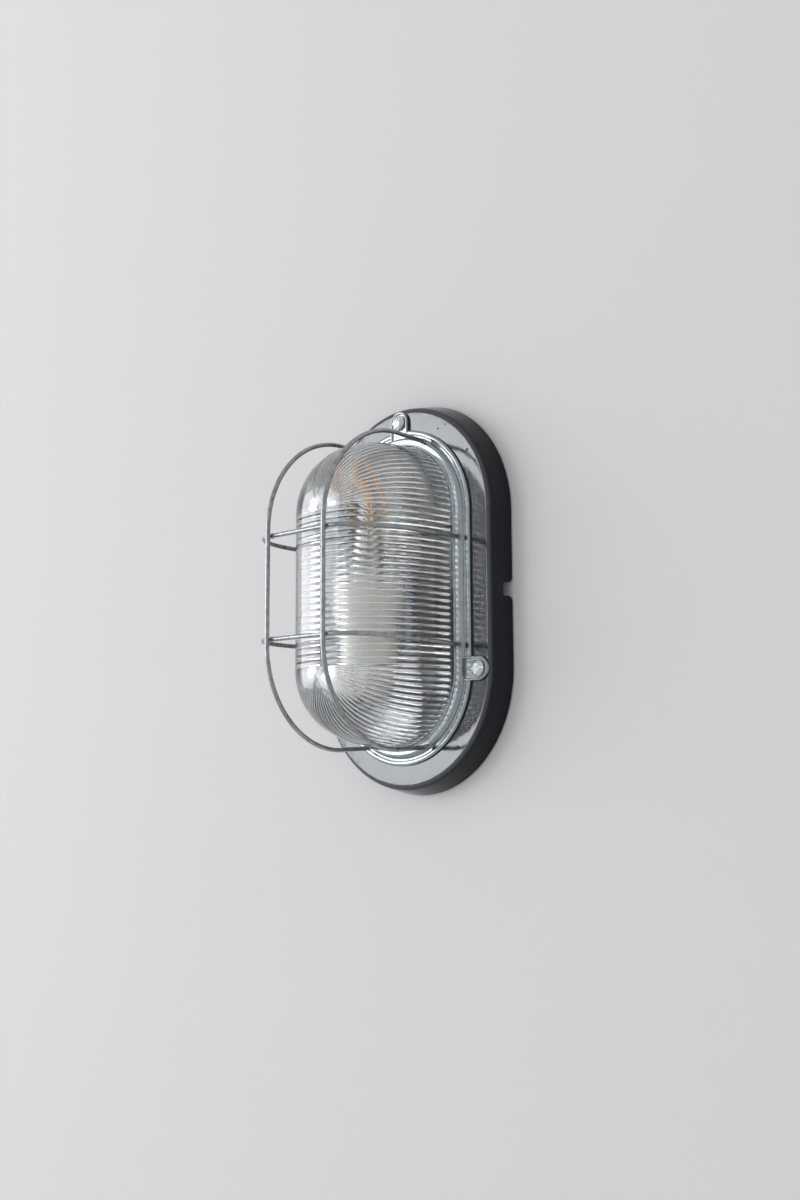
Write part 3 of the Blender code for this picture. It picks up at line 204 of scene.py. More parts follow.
class Maker:
    """Adds nodes to a tree. An input is given a value, or the output socket that feeds it."""

    def __init__(self, tree):
        self.tree = tree

    def add(self, kind, values=None, **settings):
        node = self.tree.nodes.new(kind)
        for name, value in settings.items():
            setattr(node, name, value)
        for name, value in (values or {}).items():
            if isinstance(value, bpy.types.NodeSocket):
                self.tree.links.new(value, node.inputs[name])
            else:
                node.inputs[name].default_value = value
        return node

    def math(self, operation, *values):
        return self.add("ShaderNodeMath", dict(enumerate(values)), operation=operation).outputs[0]

    def plus(self, one, other):
        return self.math("ADD", one, other)

    def minus(self, one, other):
        return self.math("SUBTRACT", one, other)

    def times(self, one, other):
        return self.math("MULTIPLY", one, other)

    def over(self, one, other):
        return self.math("DIVIDE", one, other)

    def within(self, value, low, high):
        """How far a value is past low, up to high."""
        span = self.minus(high, low)
        past = self.minus(value, low)
        return self.math("MINIMUM", self.math("MAXIMUM", past, 0.0), span)


def new_tree(name, inputs):
    """A Geometry Nodes tree with a geometry input and output and the given named inputs."""
    tree = bpy.data.node_groups.new(name, "GeometryNodeTree")
    tree.interface.new_socket("Geometry", in_out="OUTPUT", socket_type="NodeSocketGeometry")
    tree.interface.new_socket("Geometry", in_out="INPUT", socket_type="NodeSocketGeometry")
    for label, kind, default in inputs:
        socket = tree.interface.new_socket(label, in_out="INPUT", socket_type="NodeSocket" + kind)
        if default is not None:
            socket.default_value = default
    maker = Maker(tree)
    return maker, maker.add("NodeGroupInput").outputs


def end_tree(maker, geometry, finish):
    real = maker.add("GeometryNodeRealizeInstances", {"Geometry": geometry}).outputs[0]
    done = maker.add("GeometryNodeSetMaterial", {"Geometry": real, "Material": finish}).outputs[0]
    maker.add("NodeGroupOutput", {"Geometry": done})
    return maker.tree


SWEEP_INPUTS = [
    ("Core half length", "Float", 0.0),
    ("Rib half width", "Float", 0.05),
    ("Stations", "Int", 64),
    ("Ribs", "Float", 0.0),
    ("Rib twist", "Float", 0.0),
    ("Rib fade", "Float", 0.0),
    ("Finish", "Material", None),
]


def sweep_tree():
    """Carries a section round the oval. A section point's X is its half width and its Y its depth.

    Its attribute "rise" is the height of the ribs there, and "slope" the way that they rise. With no core
    the oval is a circle, so the same tree turns round pieces, and a twist makes the ribs a thread.
    """
    maker, given = new_tree("oval_sweep", SWEEP_INPUTS)
    section = given["Geometry"]
    core, half, stations = given["Core half length"], given["Rib half width"], given["Stations"]
    rows = maker.add("GeometryNodeAttributeDomainSize", {"Geometry": section}).outputs["Point Count"]
    grid = maker.add("GeometryNodeMeshGrid", {
        "Size X": 1.0, "Size Y": 1.0, "Vertices X": maker.plus(stations, 1.0), "Vertices Y": rows})
    index = maker.add("GeometryNodeInputIndex").outputs[0]
    column = maker.math("FLOOR", maker.over(maker.plus(index, 0.5), rows))
    row = maker.minus(index, maker.times(column, rows))

    def at_row(name, kind):
        if name is None:
            value = maker.add("GeometryNodeInputPosition").outputs[0]
        else:
            value = maker.add("GeometryNodeInputNamedAttribute", {"Name": name}, data_type=kind).outputs[0]
        node = maker.add("GeometryNodeSampleIndex", {"Geometry": section, "Value": value, "Index": row},
                         data_type=kind)
        if kind == "FLOAT":
            return node.outputs[0]
        return maker.add("ShaderNodeSeparateXYZ", {0: node.outputs[0]}).outputs

    place = at_row(None, "FLOAT_VECTOR")
    slope = at_row("slope", "FLOAT_VECTOR")
    rise = at_row("rise", "FLOAT")

    side = maker.times(core, 2.0)
    bend = maker.times(half, math.pi)
    round_way = maker.times(maker.plus(side, bend), 2.0)
    share = maker.over(column, stations)
    along = maker.plus(maker.times(share, round_way), core)
    first_bend_end = maker.plus(side, bend)
    second_side_end = maker.plus(first_bend_end, side)
    bent = maker.plus(maker.within(along, side, first_bend_end),
                      maker.within(along, second_side_end, round_way))
    angle = maker.over(bent, half)
    third_side_end = maker.plus(round_way, side)
    up = maker.plus(maker.within(along, 0.0, side), maker.within(along, round_way, third_side_end))
    down = maker.within(along, first_bend_end, second_side_end)
    level = maker.minus(maker.minus(up, down), core)

    phase = maker.plus(maker.times(share, given["Ribs"]), maker.times(place["Y"], given["Rib twist"]))
    crest = maker.math("ABSOLUTE", maker.math("SINE", maker.times(phase, math.pi)))
    on_end = maker.math("GREATER_THAN", maker.math("ABSOLUTE", level), maker.minus(core, 0.00001))
    near_pole = maker.math("MINIMUM", maker.over(place["X"], given["Rib fade"]), 1.0)
    fading = maker.times(on_end, maker.math("GREATER_THAN", given["Rib fade"], 0.0))
    fade = maker.minus(1.0, maker.times(fading, maker.minus(1.0, near_pole)))
    height = maker.times(maker.times(rise, crest), fade)

    reach = maker.math("MULTIPLY_ADD", height, slope["X"], place["X"])
    depth = maker.math("MULTIPLY_ADD", height, slope["Y"], place["Y"])
    position = maker.add("ShaderNodeCombineXYZ", {
        "X": maker.times(reach, maker.math("COSINE", angle)),
        "Y": maker.times(depth, -1.0),
        "Z": maker.math("MULTIPLY_ADD", reach, maker.math("SINE", angle), level)}).outputs[0]
    placed = maker.add("GeometryNodeSetPosition", {"Geometry": grid.outputs[0], "Position": position})
    merged = maker.add("GeometryNodeMergeByDistance", {"Geometry": placed.outputs[0], "Distance": 0.000004})
    return end_tree(maker, merged.outputs[0], given["Finish"])


WIRE_INPUTS = [
    ("Radius", "Float", WIRE),
    ("Sides", "Int", 20),
    ("Coat unevenness", "Float", 0.0),
    ("Coat scale", "Float", 220.0),
    ("Weld radius", "Float", 0.0),
    ("Finish", "Material", None),
]


def wire_tree():
    """Draws a round wire along a line of points, with a blob of weld at each point whose "weld" is set."""
    maker, given = new_tree("round_wire", WIRE_INPUTS)
    line = maker.add("GeometryNodeMeshToCurve", {"Mesh": given["Geometry"]}).outputs[0]
    circle = maker.add("GeometryNodeCurvePrimitiveCircle", {
        "Resolution": given["Sides"], "Radius": given["Radius"]}).outputs[0]
    tube = maker.add("GeometryNodeCurveToMesh", {
        "Curve": line, "Profile Curve": circle, "Fill Caps": True}).outputs[0]
    weld = maker.add("GeometryNodeInputNamedAttribute", {"Name": "weld"}, data_type="FLOAT").outputs[0]
    welded = maker.add("GeometryNodeMeshToPoints", {
        "Mesh": given["Geometry"], "Selection": maker.math("GREATER_THAN", weld, 0.5)}).outputs[0]
    ball = maker.add("GeometryNodeMeshIcoSphere", {"Radius": given["Weld radius"], "Subdivisions": 4})
    blobs = maker.add("GeometryNodeInstanceOnPoints", {
        "Points": welded, "Instance": ball.outputs[0], "Scale": (1.0, 0.72, 1.0)}).outputs[0]
    solid = maker.add("GeometryNodeRealizeInstances", {"Geometry": blobs}).outputs[0]
    both = maker.add("GeometryNodeJoinGeometry")
    maker.tree.links.new(tube, both.inputs[0])
    maker.tree.links.new(solid, both.inputs[0])
    lumps = maker.add("ShaderNodeTexNoise", {"Scale": given["Coat scale"], "Detail": 2.0})
    normal = maker.add("GeometryNodeInputNormal").outputs[0]
    height = maker.times(maker.minus(lumps.outputs[0], 0.6), given["Coat unevenness"])
    offset = maker.add("ShaderNodeVectorMath", {0: normal, "Scale": height}, operation="SCALE").outputs[0]
    moved = maker.add("GeometryNodeSetPosition", {"Geometry": both.outputs[0], "Offset": offset})
    return end_tree(maker, moved.outputs[0], given["Finish"])


SCREW_INPUTS = SWEEP_INPUTS + [
    ("Slot width", "Float", 1.2 * MM),
    ("Slot floor", "Float", 1.6 * MM),
    ("Slot turn", "Float", 0.0),
    ("Head radius", "Float", EAR_HEAD),
]


def screw_tree(sweep):
    """Turns a screw from its section, threads it and cuts the slot across its head."""
    maker, given = new_tree("slotted_screw", SCREW_INPUTS)
    body = maker.add("GeometryNodeGroup", node_tree=sweep)
    maker.tree.links.new(given["Geometry"], body.inputs["Geometry"])
    for label, _, _ in SWEEP_INPUTS:
        maker.tree.links.new(given[label], body.inputs[label])
    length = maker.times(given["Head radius"], 4.0)
    size = maker.add("ShaderNodeCombineXYZ", {
        "X": length, "Y": length, "Z": given["Slot width"]}).outputs[0]
    block = maker.add("GeometryNodeMeshCube", {"Size": size}).outputs[0]
    middle = maker.plus(given["Slot floor"], maker.over(length, 2.0))
    out = maker.add("ShaderNodeCombineXYZ", {"Y": maker.times(middle, -1.0)}).outputs[0]
    turn = maker.add("ShaderNodeCombineXYZ", {"Y": given["Slot turn"]}).outputs[0]
    cutter = maker.add("GeometryNodeTransform", {
        "Geometry": block, "Translation": out, "Rotation": turn}).outputs[0]
    cut = maker.add("GeometryNodeMeshBoolean", {"Mesh 1": body.outputs[0], "Mesh 2": cutter},
                    operation="DIFFERENCE", solver="EXACT").outputs[0]
    return end_tree(maker, cut, given["Finish"])


NUT_INPUTS = [
    ("Width", "Float", 8.0 * MM),
    ("Thickness", "Float", 3.6 * MM),
    ("Bore radius", "Float", 2.6 * MM),
    ("Finish", "Material", None),
]


def nut_tree():
    """A hexagon nut with turned corners, its axis on Y and its back at the origin."""
    maker, given = new_tree("hexagon_nut", NUT_INPUTS)
    width, thick = given["Width"], given["Thickness"]
    prism = maker.add("GeometryNodeMeshCylinder", {
        "Vertices": 6, "Radius": maker.over(width, math.sqrt(3.0)), "Depth": thick}).outputs[0]
    half = maker.times(width, 0.54)
    deep = maker.over(thick, 2.0)
    squares = maker.plus(maker.math("POWER", half, 2.0), maker.math("POWER", deep, 2.0))
    ball = maker.add("GeometryNodeMeshUVSphere", {
        "Segments": 48, "Rings": 32, "Radius": maker.math("SQRT", squares)}).outputs[0]
    shaped = maker.add("GeometryNodeMeshBoolean", operation="INTERSECT", solver="EXACT")
    maker.tree.links.new(prism, shaped.inputs["Mesh 2"])
    maker.tree.links.new(ball, shaped.inputs["Mesh 2"])
    bore = maker.add("GeometryNodeMeshCylinder", {
        "Vertices": 32, "Radius": given["Bore radius"], "Depth": maker.times(thick, 3.0)}).outputs[0]
    bored = maker.add("GeometryNodeMeshBoolean", {"Mesh 1": shaped.outputs[0], "Mesh 2": bore},
                      operation="DIFFERENCE", solver="EXACT").outputs[0]
    out = maker.add("ShaderNodeCombineXYZ", {"Y": maker.times(deep, -1.0)}).outputs[0]
    placed = maker.add("GeometryNodeTransform", {
        "Geometry": bored, "Translation": out, "Rotation": (math.pi / 2, 0.0, 0.0)}).outputs[0]
    return end_tree(maker, placed, given["Finish"])


# Finishes

def opened(material):
    """A maker for a material's nodes, and its shader."""
    return Maker(material.node_tree), material.node_tree.nodes["Principled BSDF"]


def finish(name, colours, roughness, metallic=0.0, grain=60.0, bump_scale=400.0, bump=0.0, ior=1.5,
           coat=0.0, transmission=0.0, specular=0.5, spangled=False):
    """A finish whose colour and roughness vary with a grain, and whose surface has a fine relief.

    Colours and roughness are given as the two ends between which they vary. A spangled finish has the
    flat crystals of hot zinc over its grain.
    """
    material = bpy.data.materials.new(name)
    material.use_nodes = True
    maker, shader = opened(material)
    shader.inputs["Metallic"].default_value = metallic
    shader.inputs["IOR"].default_value = ior
    shader.inputs["Coat Weight"].default_value = coat
    shader.inputs["Coat Roughness"].default_value = 0.05
    shader.inputs["Transmission Weight"].default_value = transmission
    shader.inputs["Specular IOR Level"].default_value = specular
    place = maker.add("ShaderNodeTexCoord").outputs["Object"]
    value = maker.add("ShaderNodeTexNoise", {"Vector": place, "Scale": grain, "Detail": 4.0}).outputs[0]
    if spangled:
        cells = maker.add("ShaderNodeTexVoronoi", {"Vector": place, "Scale": grain * 3.0})
        shade = maker.add("ShaderNodeSeparateColor", {"Color": cells.outputs["Color"]}).outputs[0]
        value = maker.plus(maker.times(shade, 0.45), maker.times(value, 0.6))
    low, high = 0.25, 0.75
    ramp = maker.add("ShaderNodeValToRGB", {"Fac": value})
    for element, position, colour in zip(ramp.color_ramp.elements, (low, high), colours):
        element.position = position
        element.color = (*colour, 1.0)
    links = material.node_tree.links
    links.new(ramp.outputs[0], shader.inputs["Base Color"])
    rough = maker.add("ShaderNodeMapRange", {
        "Value": value, "From Min": low, "From Max": high, "To Min": roughness[0], "To Max": roughness[1]})
    links.new(rough.outputs[0], shader.inputs["Roughness"])
    if bump:
        fine = maker.add("ShaderNodeTexNoise", {"Vector": place, "Scale": bump_scale, "Detail": 2.0})
        relief = maker.add("ShaderNodeBump", {
            "Height": fine.outputs[0], "Distance": bump, "Strength": 1.0}).outputs[0]
        links.new(relief, shader.inputs["Normal"])
        if coat:
            links.new(relief, shader.inputs["Coat Normal"])
    return material


def let_light_in(material, colour):
    """Lets light straight through a clear finish, in place of the bright shapes that real glass focuses."""
    maker, shader = opened(material)
    clear = maker.add("ShaderNodeBsdfTransparent", {"Color": (*colour, 1.0)}).outputs[0]
    shadow = maker.add("ShaderNodeLightPath").outputs["Is Shadow Ray"]
    mixed = maker.add("ShaderNodeMixShader", {0: shadow, 1: shader.outputs[0], 2: clear}).outputs[0]
    material.node_tree.links.new(mixed, material.node_tree.nodes["Material Output"].inputs["Surface"])


def painted_side_shade(material):
    """Painted shade: takes some of the shine off the sides of the base, so that they come out darker,
    standing in for the shade that they mirror.
    """
    maker, shader = opened(material)
    place = maker.add("ShaderNodeTexCoord").outputs["Object"]
    x, _, z = maker.add("ShaderNodeSeparateXYZ", {0: place}).outputs
    past = maker.math("MAXIMUM", maker.minus(maker.math("ABSOLUTE", z), CORE), 0.0)
    squares = maker.plus(maker.times(x, x), maker.times(past, past))
    edge = BASE_HALF - BASE_DRAFT
    shine = maker.add("ShaderNodeMapRange", {
        "Value": maker.math("SQRT", squares), "From Min": edge - 1.0 * MM, "From Max": edge + 0.4 * MM,
        "To Min": 0.5, "To Max": 0.12}).outputs[0]
    material.node_tree.links.new(shine, shader.inputs["Specular IOR Level"])


def pitted(material, pits):
    """Small pits in the glaze, each given by its x, z and radius on the base's front face."""
    maker = Maker(material.node_tree)
    relief = material.node_tree.nodes["Bump"].inputs["Height"]
    height = relief.links[0].from_socket
    place = maker.add("ShaderNodeTexCoord").outputs["Object"]
    for x, z, radius in pits:
        away = maker.add("ShaderNodeVectorMath", {0: place, 1: (x, -BASE_DEPTH, z)}, operation="DISTANCE")
        depth = maker.add("ShaderNodeMapRange", {
            "Value": away.outputs["Value"], "From Min": 0.0, "From Max": radius,
            "To Min": PIT_DEPTH, "To Max": 0.0})
        height = maker.minus(height, depth.outputs[0])
    material.node_tree.links.new(height, relief)


black_glaze = finish("black_glaze", ((0.001, 0.002, 0.006), (0.003, 0.004, 0.010)), (0.07, 0.15),
                     grain=90.0, bump_scale=150.0, bump=0.00010, ior=1.95)
# Painted shade: the sides of the base get less shine, so that they render darker.
painted_side_shade(black_glaze)
pitted(black_glaze, PITS)
dome_glass = finish("dome_glass", ((0.95, 0.965, 0.965), (0.985, 0.99, 0.99)), (0.05, 0.10),
                    grain=40.0, bump_scale=120.0, bump=0.00003, transmission=1.0, ior=1.5, specular=0.42)
bulb_glass = finish("bulb_glass", ((0.97, 0.975, 0.97), (0.99, 0.99, 0.985)), (0.0, 0.01),
                    grain=30.0, transmission=1.0, ior=1.5)
let_light_in(dome_glass, (0.90, 0.91, 0.91))
let_light_in(bulb_glass, (0.95, 0.95, 0.95))
galvanised = finish("galvanised", ((0.335, 0.362, 0.378), (0.400, 0.430, 0.447)), (0.13, 0.21),
                    metallic=1.0, grain=70.0, bump_scale=300.0, bump=0.00001, spangled=True)
cage_wire = finish("cage_wire", ((0.24, 0.26, 0.265), (0.46, 0.485, 0.49)), (0.24, 0.38), metallic=1.0,
                   grain=260.0, bump_scale=900.0, bump=0.00004)
zinc = finish("zinc", ((0.60, 0.61, 0.62), (0.80, 0.81, 0.82)), (0.18, 0.32), metallic=1.0,
              grain=300.0, bump_scale=1500.0, bump=0.00002)
rubber = finish("rubber", ((0.035, 0.035, 0.036), (0.065, 0.065, 0.065)), (0.6, 0.8),
                grain=400.0, bump_scale=1800.0, bump=0.00004)
white_porcelain = finish("white_porcelain", ((0.80, 0.77, 0.69), (0.88, 0.86, 0.80)), (0.12, 0.22),
                         grain=50.0, bump_scale=200.0, bump=0.00004, coat=0.4)
thin_glaze = finish("thin_glaze", ((0.050, 0.051, 0.054), (0.085, 0.086, 0.090)), (0.10, 0.20),
                    grain=90.0, bump_scale=150.0, bump=0.00010, ior=1.72)
brass = finish("brass", ((0.66, 0.47, 0.20), (0.84, 0.66, 0.34)), (0.2, 0.38), metallic=1.0,
               grain=300.0, bump_scale=1200.0, bump=0.00003)
black_insulator = finish("black_insulator", ((0.015, 0.015, 0.017), (0.03, 0.03, 0.032)), (0.12, 0.25),
                         grain=200.0, coat=0.5)
lead_brown = finish("lead_brown", ((0.15, 0.065, 0.03), (0.23, 0.105, 0.05)), (0.38, 0.55),
                    grain=300.0, bump_scale=1500.0, bump=0.00002)
# The blue lead's colour is partly its own blue and partly painted shade: it is set darker, standing in for
# the shade that it lies in.
lead_blue = finish("lead_blue", ((0.010, 0.030, 0.12), (0.018, 0.050, 0.18)), (0.38, 0.55),
                   grain=300.0, bump_scale=1500.0, bump=0.00002)
filament = finish("filament", ((0.95, 0.38, 0.04), (1.00, 0.54, 0.11)), (0.45, 0.6),
                  grain=500.0, bump_scale=1200.0, bump=0.00005)


# Making pieces

def linked(name, data):
    """An object in the scene that shows a mesh, lamp or camera."""
    piece = bpy.data.objects.new(name, data)
    bpy.context.collection.objects.link(piece)
    return piece


def from_bmesh(name, bm):
    mesh = bpy.data.meshes.new(name)
    bm.to_mesh(mesh)
    bm.free()
    return linked(name, mesh)


def settle(piece, sharp):
    """Turns a piece and its modifiers into a plain mesh."""
    depsgraph = bpy.context.evaluated_depsgraph_get()
    mesh = bpy.data.meshes.new_from_object(piece.evaluated_get(depsgraph))
    old = piece.data
    piece.modifiers.clear()
    piece.data = mesh
    bpy.data.meshes.remove(old)
    mesh.name = piece.name
    mesh.shade_smooth()
    mesh.set_sharp_from_angle(angle=math.radians(sharp))
    return piece


def one_finish(piece, material):
    mesh = piece.data
    mesh.materials.clear()
    mesh.materials.append(material)
    mesh.polygons.foreach_set("material_index", [0] * len(mesh.polygons))
    return piece


def grown(name, mesh, tree, values, sharp=35.0):
    """Runs a node tree on a mesh and keeps the result as a plain mesh."""
    piece = linked(name, mesh)
    modifier = piece.modifiers.new(tree.name, "NODES")
    modifier.node_group = tree
    for item in tree.interface.items_tree:
        if item.in_out == "INPUT" and item.name in values:
            modifier[item.identifier] = values[item.name]
    return one_finish(settle(piece, sharp), values["Finish"])


def line_mesh(name, points, attributes=None):
    """A chain of points joined by edges, with a value for each point under each attribute's name."""
    mesh = bpy.data.meshes.new(name)
    mesh.from_pydata([tuple(point) for point in points], [(i, i + 1) for i in range(len(points) - 1)], [])
    for label, (kind, values) in (attributes or {}).items():
        layer = mesh.attributes.new(label, kind, "POINT")
        for i, value in enumerate(values):
            if kind == "FLOAT":
                layer.data[i].value = value
            else:
                layer.data[i].vector = value
    return mesh


def rounded(points, steps=4, closed=False):
    """Rounds an outline's corners. A point is (x, y), or (x, y, radius) where its corner is rounded."""
    made = []
    for i, point in enumerate(points):
        here = Vector(point[:2])
        radius = point[2] if len(point) > 2 else 0.0
        if not radius or (not closed and i in (0, len(points) - 1)):
            made.append(here)
            continue
        before = Vector(points[i - 1][:2]) - here
        after = Vector(points[(i + 1) % len(points)][:2]) - here
        reach = radius / math.tan(before.angle(after) / 2)
        reach = min(reach, 0.48 * before.length, 0.48 * after.length)
        start, end = here + before.normalized() * reach, here + after.normalized() * reach
        for k in range(steps + 1):
            t = k / steps
            made.append((1 - t) ** 2 * start + 2 * t * (1 - t) * here + t * t * end)
    if closed:
        made.append(made[0])
    return made


SWEEP = sweep_tree()
ROUND_WIRE = wire_tree()
SLOTTED_SCREW = screw_tree(SWEEP)
HEXAGON_NUT = nut_tree()


def section_mesh(name, points, rise=None, slope=None):
    rise = rise or [0.0] * len(points)
    slope = slope or [(1.0, 0.0, 0.0)] * len(points)
    return line_mesh(name, [(x, y, 0.0) for x, y in points],
                     {"rise": ("FLOAT", rise), "slope": ("FLOAT_VECTOR", slope)})


# How the sweep runs: round the oval, or round an axis
OVAL = {"Core half length": CORE, "Rib half width": GLASS_HALF, "Ribs": 0.0, "Rib twist": 0.0,
        "Rib fade": 0.0}
ROUND = {**OVAL, "Core half length": 0.0, "Rib half width": 1.0}


def oval(name, points, material, stations=248):
    """A piece with one section all round the oval."""
    values = {**OVAL, "Stations": stations, "Finish": material}
    return grown(name, section_mesh(name, points), SWEEP, values)


def turned(name, points, material, place, stations, thread=None):
    """A round piece from (radius, height) points. A thread is (pitch, height, lowest and highest level)."""
    points = [tuple(point[:2]) for point in points]
    values = {**ROUND, "Stations": stations, "Finish": material}
    rise = None
    if thread:
        pitch, height, low, high = thread
        fine = []
        for a, b in zip(points, points[1:]):
            fine.append(a)
            inside = low <= min(a[1], b[1]) and max(a[1], b[1]) <= high
            steps = int(abs(b[1] - a[1]) / pitch * 8) if inside else 0
            fine += [(a[0] + (b[0] - a[0]) * k / steps, a[1] + (b[1] - a[1]) * k / steps)
                     for k in range(1, steps)]
        points = fine + [points[-1]]
        rise = [height if low < y < high else 0.0 for _, y in points]
        values.update({"Ribs": 1.0, "Rib twist": 1.0 / pitch})
    piece = grown(name, section_mesh(name, points, rise), SWEEP, values)
    piece.data.transform(place)
    return piece


UPRIGHT = Matrix.Rotation(-math.pi / 2, 4, "X")
LAMP_AXIS = Matrix.Translation((0.0, -AXIS_DEPTH, 0.0)) @ UPRIGHT


def cylinders(name, radius, back, front, places, sides=48):
    """Round cutters or bosses that face out from the wall, as one mesh."""
    bm = bmesh.new()
    for x, z in places:
        made = bmesh.ops.create_cone(bm, cap_ends=True, segments=sides, radius1=radius, radius2=radius,
                                     depth=front - back)
        turn = Matrix.Translation((x, -(back + front) / 2, z)) @ Matrix.Rotation(math.pi / 2, 4, "X")
        bmesh.ops.transform(bm, matrix=turn, verts=made["verts"])
    return from_bmesh(name, bm)


def extruded(name, outline, thickness, place):
    """Draws a closed outline out along +Z, then moves it by a matrix."""
    bm = bmesh.new()
    face = bm.faces.new([bm.verts.new((x, y, 0.0)) for x, y in outline])
    drawn = bmesh.ops.extrude_face_region(bm, geom=[face])
    top = [item for item in drawn["geom"] if isinstance(item, bmesh.types.BMVert)]
    bmesh.ops.translate(bm, vec=(0, 0, thickness), verts=top)
    bmesh.ops.recalc_face_normals(bm, faces=bm.faces)
    bmesh.ops.transform(bm, matrix=place, verts=bm.verts)
    return from_bmesh(name, bm)


def combined(piece, tools, sharp=35.0):
    """Adds or cuts with each tool in turn, and removes the tools."""
    material = piece.data.materials[0]
    for operation, tool in tools:
        modifier = piece.modifiers.new(operation.lower(), "BOOLEAN")
        modifier.operation = operation
        modifier.solver = "EXACT"
        modifier.object = tool
    settle(piece, sharp)
    for _, tool in tools:
        bpy.data.objects.remove(tool)
    return one_finish(piece, material)


def keep(piece, node):
    """A finished piece rides on the light's one body and stands for its node."""
    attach(piece, "root")
    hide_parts(node)


# Base and gasket

# Each ear's x, z and turn about its screw
EARS = {
    "top": (0.0, CORE + EAR_OFFSET, 90.0),
    "lower_left": (-EAR_OFFSET, -CORE - LOWER_EAR_DROP, 180.0),
    "lower_right": (EAR_OFFSET, -CORE - LOWER_EAR_DROP, 0.0),
}
EAR_SCREWS = [(x, z) for x, z, _ in EARS.values()]


def cable_notch():
    """A cutter with a round-cornered floor that flares out towards the wall."""
    half, flare, corner, deep = NOTCH_HALF, NOTCH_FLARE, NOTCH_CORNER, NOTCH_DEPTH
    side = [(half + flare, -2.0 * MM)]
    for k in range(13):
        turn = math.radians(270 - 90 * k / 12)
        side.append((half + flare + flare * math.cos(turn), flare + flare * math.sin(turn)))
    for k in range(7):
        turn = math.radians(90 * k / 6)
        side.append((half - corner + corner * math.cos(turn), deep - corner + corner * math.sin(turn)))
    outline = side + [(-x, y) for x, y in reversed(side)]
    place = Matrix(((0, 0, 1, BASE_HALF - NOTCH_REACH), (0, -1, 0, 0), (1, 0, 0, NOTCH_Z), (0, 0, 0, 1)))
    return extruded("cable_notch", outline, 20.0 * MM, place)


def make_base():
    points = rounded([
        (0.0, HOLLOW_DEPTH),
        (HOLLOW_HALF - 2.2 * HOLLOW_DRAFT, HOLLOW_DEPTH, 1.2 * MM),
        (HOLLOW_HALF, 0.0, 0.5 * MM),
        (BASE_HALF, 0.0, 0.7 * MM),
        (BASE_HALF - BASE_DRAFT, BASE_DEPTH, BASE_RIM * 1.5),
        (SEAT_HALF, BASE_DEPTH, 0.5 * MM),
        (SEAT_HALF, SEAT, 0.2 * MM),
        (WELL_HALF, SEAT, 0.8 * MM),
        (WELL_HALF - WELL_DRAFT, FLOOR, 1.0 * MM),
        (0.0, FLOOR),
    ], steps=7)
    base = oval("porcelain_base", points, black_glaze)
    tools = [("UNION", cylinders("wall_bosses", WALL_BOSS, 0.0, HOLLOW_DEPTH + 2.0 * MM, WALL_FIXINGS))]
    bracket_screws = [(-BRACKET_SCREW_X, BRACKET_SCREW_Z), (BRACKET_SCREW_X, BRACKET_SCREW_Z)]
    for name, radius, places in (
            ("wall_holes", WALL_HOLE, WALL_FIXINGS), ("ear_holes", EAR_HOLE, EAR_SCREWS),
            ("bracket_holes", BRACKET_HOLE, bracket_screws), ("block_hole", BLOCK_HOLE, [(0.0, BLOCK_Z)]),
            ("cable_hole", CABLE_HOLE, [(0.0, CABLE_HOLE_Z)])):
        hole = cylinders(name, radius, -1.0 * MM, BASE_DEPTH + 2.0 * MM, places)
        tools.append(("DIFFERENCE", hole))
    base = combined(base, tools + [("DIFFERENCE", cable_notch())])
    base.data.materials.append(thin_glaze)
    near = 0.1 * MM
    for face in base.data.polygons:
        x, y, z = face.center
        half = math.hypot(x, max(abs(z) - CORE, 0.0))
        in_well = FLOOR - near < -y < SEAT - near and half < WELL_HALF + near
        in_hollow = -y < HOLLOW_DEPTH + near and half < HOLLOW_HALF + near
        if in_well or in_hollow:
            face.material_index = 1
    keep(base, "base")


def make_gasket():
    inner, back, front = WELL_HALF + 1.2 * MM, back_of("gasket"), front_of("gasket")
    soft = 0.5 * MM
    points = rounded([(inner, back, soft), (GASKET_HALF, back, soft), (GASKET_HALF, front, soft),
                      (inner, front, soft)], closed=True)
    keep(oval("seal_ring", points, rubber), "gasket")


# Ribbed glass dome

def dome_profile(half, back, front, rows):
    """Half widths and depths from the foot of the dome to its crown, with the outward slope at each."""
    points = []
    for i in range(rows + 1):
        turn = math.pi / 2 * (i / rows) ** ROW_BIAS
        across = math.cos(turn) ** (2 / SIDE_POWER) if i < rows else 0.0
        along = math.sin(turn) ** (2 / CROWN_POWER)
        outward = across ** (SIDE_POWER - 1) / half, along ** (CROWN_POWER - 1) / (front - back), 0.0
        points.append(((half * across, back + (front - back) * along), Vector(outward).normalized()))
    return points


def make_dome():
    flange_front = GLASS_BACK + GLASS_FLANGE
    inside_half = GLASS_HALF - GLASS_WALL
    outside = dome_profile(GLASS_HALF, flange_front, GLASS_FRONT, 24)
    inside = dome_profile(inside_half, flange_front, GLASS_FRONT - GLASS_WALL, 40)
    edge = rounded([
        (inside_half, GLASS_BACK),
        (GLASS_FLANGE_HALF, GLASS_BACK, 0.8 * MM),
        (GLASS_FLANGE_HALF, flange_front, 0.8 * MM),
        (GLASS_HALF, flange_front),
    ], steps=3)[:-1]
    points = edge + [point for point, _ in outside] + [point for point, _ in reversed(inside)]
    points.append(edge[0])
    plain = len(edge) + len(outside)
    rise = [0.0] * plain + [RIB_HEIGHT * min(1.0, (depth - flange_front) / RIB_RUN_OUT)
                            for (_, depth), _ in reversed(inside)] + [0.0]
    slope = [(1.0, 0.0, 0.0)] * plain + [-way for _, way in reversed(inside)] + [(1.0, 0.0, 0.0)]
    dome = grown("ribbed_dome", section_mesh("ribbed_dome", points, rise, slope), SWEEP, {
        **OVAL, "Stations": RIBS * RIB_SAMPLES, "Ribs": float(RIBS), "Rib fade": RIB_FADE,
        "Finish": dome_glass}, 38.0)
    keep(dome, "glass")


# Clamping ring with its ears

